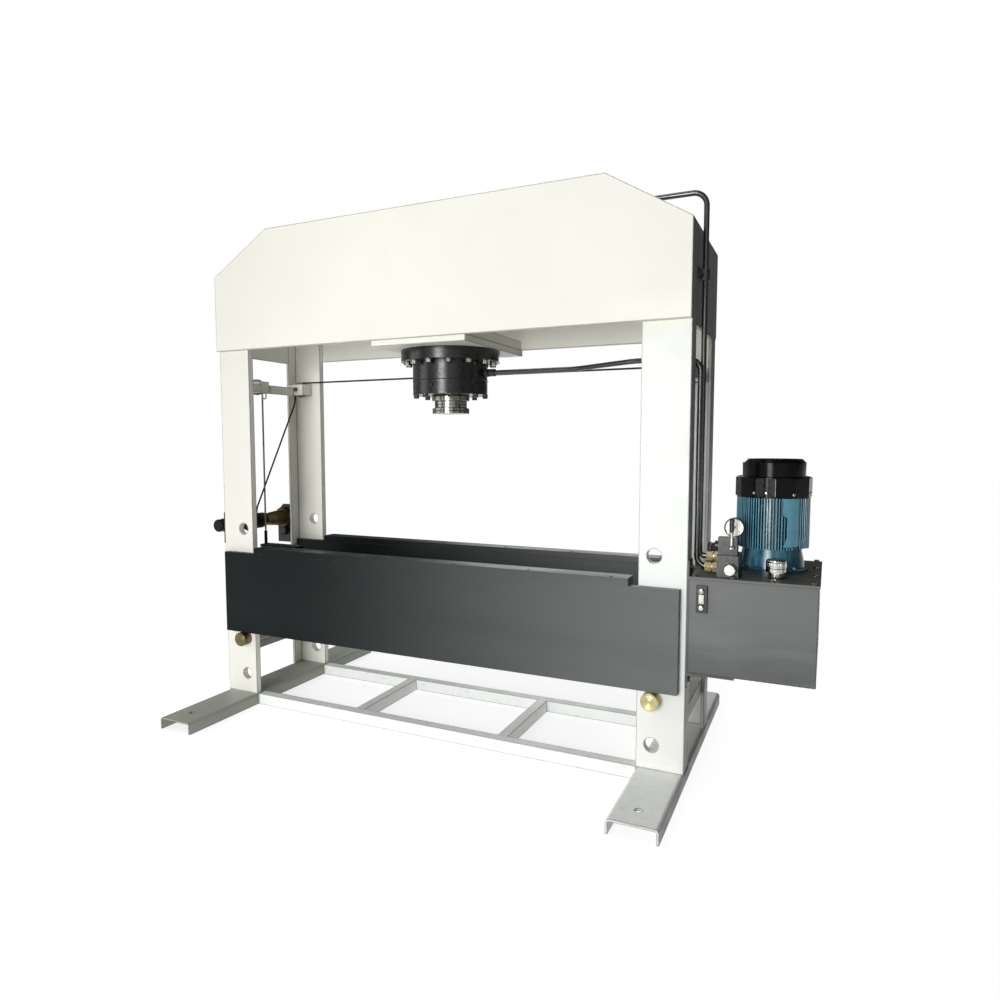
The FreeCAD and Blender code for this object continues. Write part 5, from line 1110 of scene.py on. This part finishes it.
def make_valve_details():
    """Relief knob, return filter and the valve's lever."""
    knob_low, knob_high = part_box("relief_knob")
    centre = middle("relief_knob")
    radius = (knob_high.x - knob_low.x) / 2
    shape = bmesh.new()
    knurl_seat = Vector((centre.x, knob_high.y - 0.0035, centre.z))
    knurled(shape, radius + 0.0004, 0.0011, 0.011, knurl_seat, -Y_AXIS, 30)
    piece_from("knob_knurl", shape, "lever_black", body="knob")
    shape = bmesh.new()
    lathe(shape, [(0.0004, 0), (radius * 0.55, 0), (radius * 0.5, 0.0007), (0.0006, 0.0009)],
          Vector((centre.x, knob_low.y + 0.0003, centre.z)), -Y_AXIS, 32)
    piece_from("knob_cap", shape, "lever_black", body="knob", material=knob_chrome)

    centre = middle("return_filter")
    centre.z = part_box("return_filter")[1].z - 0.064
    grip_rings("filter_rings", "filter_black", centre, 0.0302, 0.0318, 0.0012, 5, 0.009, 48)

    lever_low, lever_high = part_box("valve_lever")
    centre = middle("valve_lever")
    centre.z = lever_high.z - 0.037
    grip_rings("lever_grip_rings", "lever_black", centre, 0.0066, 0.0079, 0.0011, 7, 0.0045, 24, body="lever")
    centre.z = lever_low.z + 0.004
    top = lever_high.z - 0.045 - centre.z
    turned("lever_rod_sleeve", "lever_black",
           [(0.0036, 0), (0.0094, 0.0006), (0.0094, 0.0062), (0.0058, 0.0072), (0.0052, 0.012),
            (0.0052, top - 0.004), (0.0072, top - 0.003), (0.0072, top), (0.0036, top)],
           centre, segments=24, body="lever", material=bolt_steel)


def make_frame_welds():
    """Beads where the uprights stand on the feet and round the cylinder's lower plate."""
    shape = bmesh.new()
    for side in ("left", "right"):
        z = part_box(side + "_foot")[1].z + 0.001
        for depth in ("front", "rear"):
            low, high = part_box(depth + "_" + side + "_upright")
            y = low.y if depth == "front" else high.y
            weld(shape, Vector((low.x + 0.002, y, z)), Vector((high.x - 0.002, y, z)), FOOT_WELD)
            x = low.x if side == "left" else high.x
            weld(shape, Vector((x, low.y + 0.002, z)), Vector((x, high.y - 0.002, z)), FOOT_WELD)
    piece_from("foot_welds", shape, "frame_paint")

    shape = bmesh.new()
    low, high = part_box("cylinder_lower_plate")
    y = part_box("beam_front_plate")[0].y + 0.004
    weld(shape, Vector((low.x + 0.004, y, high.z)), Vector((high.x - 0.004, y, high.z)), PLATE_WELD)
    for x in (low.x, high.x):
        weld(shape, Vector((x, low.y + 0.02, high.z)), Vector((x, high.y - 0.02, high.z)), PLATE_END_WELD)
    piece_from("beam_welds", shape, "frame_paint")


def make_bed_welds():
    """Beads under the guide bars, along the bed's front and rear plates."""
    shape = bmesh.new()
    low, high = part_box("guide_bars")
    z = low.z - 0.0006
    for y in (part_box("bed_front_plate")[1].y + 0.0006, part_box("bed_rear_plate")[0].y - 0.0006):
        weld(shape, Vector((low.x + 0.01, y, z)), Vector((high.x - 0.01, y, z)), BAR_WELD)
    piece_from("bed_welds", shape, "bed_paint", body="bed")


make_ropes()
make_cylinder_details()
make_pin_faces()
make_pulley_end_plate()
washer_ring("flange_washers", count=14, circle=0.352, phase=0, seat_z=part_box("cylinder_barrel")[0].z + 0.075,
            outer=0.0155, inner=0.0072, thickness=0.0022)
washer_ring("gland_washers", count=8, circle=0.278, phase=28, seat_z=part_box("cylinder_gland")[0].z,
            outer=0.0125, inner=0.0062, thickness=0.002)
make_gauge_details()
make_level_gauge_details()
make_motor_details()
make_tank_details()
make_filler_details()
make_valve_details()
make_frame_welds()
make_bed_welds()


# ---------------------------------------------------------------- floor, light and camera
def make_floor():
    """Pale floor that shows the press's shadow near it and is pure white further away and on the right."""
    bpy.ops.mesh.primitive_plane_add(size=60, location=(0, 0, -0.0005))
    floor = bpy.context.object
    floor.name = "floor"
    made = Surface("pale_floor", (0, 0, 0), 0.8, specular=0.1)
    made.shader.inputs["Emission Color"].default_value = (1, 1, 1, 1)
    near = made.both(made.around((0, 0, 0), FLOOR_FAR, FLOOR_NEAR),
                     made.steps(made.part(made.place, "X"), 0.6, 1.15, 1.0, FLOOR_RIGHT))
    made.link(made.both(near, 0.5), made.shader.inputs["Base Color"])
    glow = made.math("SUBTRACT", 1.0, made.both(near, 1 - FLOOR_GLOW))
    shown = made.both(glow, made.math("MAXIMUM", *made.background_rays()))
    lifted = made.both(near, FLOOR_LIFT)
    made.link(made.math("MAXIMUM", shown, lifted), made.shader.inputs["Emission Strength"])
    floor.data.materials.append(made.done())


def make_world():
    """White behind the object; its light comes from the front and the left, and the right side is dim."""
    world = bpy.data.worlds.new("studio")
    scene.world = world
    world.use_nodes = True
    made = Graph(world.node_tree)
    background = made.tree.nodes["Background"]
    background.inputs["Color"].default_value = (1, 1, 1, 1)
    way = made.node("ShaderNodeTexCoord").outputs["Generated"]
    x, y, z = (made.part(way, axis) for axis in "XYZ")
    soft = made.steps(x, -0.5, 0.4, 0.72, 0.03)
    facing = made.math("ADD", made.both(x, -0.35), made.both(y, -0.9))
    shine = made.both(made.steps(facing, -0.5, 0.75, 0.12, 1.0), made.steps(z, 0.15, 0.8, 1.0, 0.3))
    strips = made.node("ShaderNodeTexNoise", noise_dimensions="1D")
    strips.inputs["Scale"].default_value = 1.7
    strips.inputs["Detail"].default_value = 1.0
    made.link(made.math("ARCTAN2", x, y), strips.inputs["W"])
    shine = made.both(shine, made.steps(strips.outputs["Fac"], 0.42, 0.56, 0.3, 1.0))
    seen, mirrored = made.background_rays()
    lit = made.node("ShaderNodeMix")
    for number, value in ((0, mirrored), (2, soft), (3, shine)):
        made.link(value, lit.inputs[number])
    made.link(made.math("MAXIMUM", seen, lit.outputs[0]), background.inputs["Strength"])


def area_lamp(name, place, target, size, power):
    data = bpy.data.lights.new(name, "AREA")
    data.shape = "RECTANGLE"
    data.size, data.size_y = size
    data.energy = power
    lamp = bpy.data.objects.new(name, data)
    lamp.location = place
    lamp.rotation_euler = (Vector(target) - Vector(place)).to_track_quat("-Z", "Y").to_euler()
    scene.collection.objects.link(lamp)


def make_camera():
    data = bpy.data.cameras.new("camera")
    data.sensor_width = 36
    data.lens = CAMERA_LENS
    data.shift_x, data.shift_y = CAMERA_SHIFT
    data.dof.use_dof = False
    data.clip_end = 200
    camera = bpy.data.objects.new("camera", data)
    camera.location = CAMERA_PLACE
    camera.rotation_euler = (math.pi / 2 - CAMERA_TILT, 0, CAMERA_TURN)
    scene.collection.objects.link(camera)
    scene.camera = camera


make_floor()
make_world()
area_lamp("front_box", place=(0.15, -5.4, 1.45), target=(0, 0, 0.9), size=(1.6, 2.4), power=184)
area_lamp("left_fill", place=(-4.0, -2.4, 2.4), target=(-0.4, 0, 0.9), size=(2.0, 2.0), power=18)
area_lamp("top_fill", place=(-0.3, -0.8, 4.6), target=(0, 0, 1.0), size=(3.0, 2.0), power=38)
area_lamp("rear_fill", place=(-1.2, 5.2, 2.6), target=(0, 0, 1.0), size=(3.0, 2.0), power=60)
make_camera()
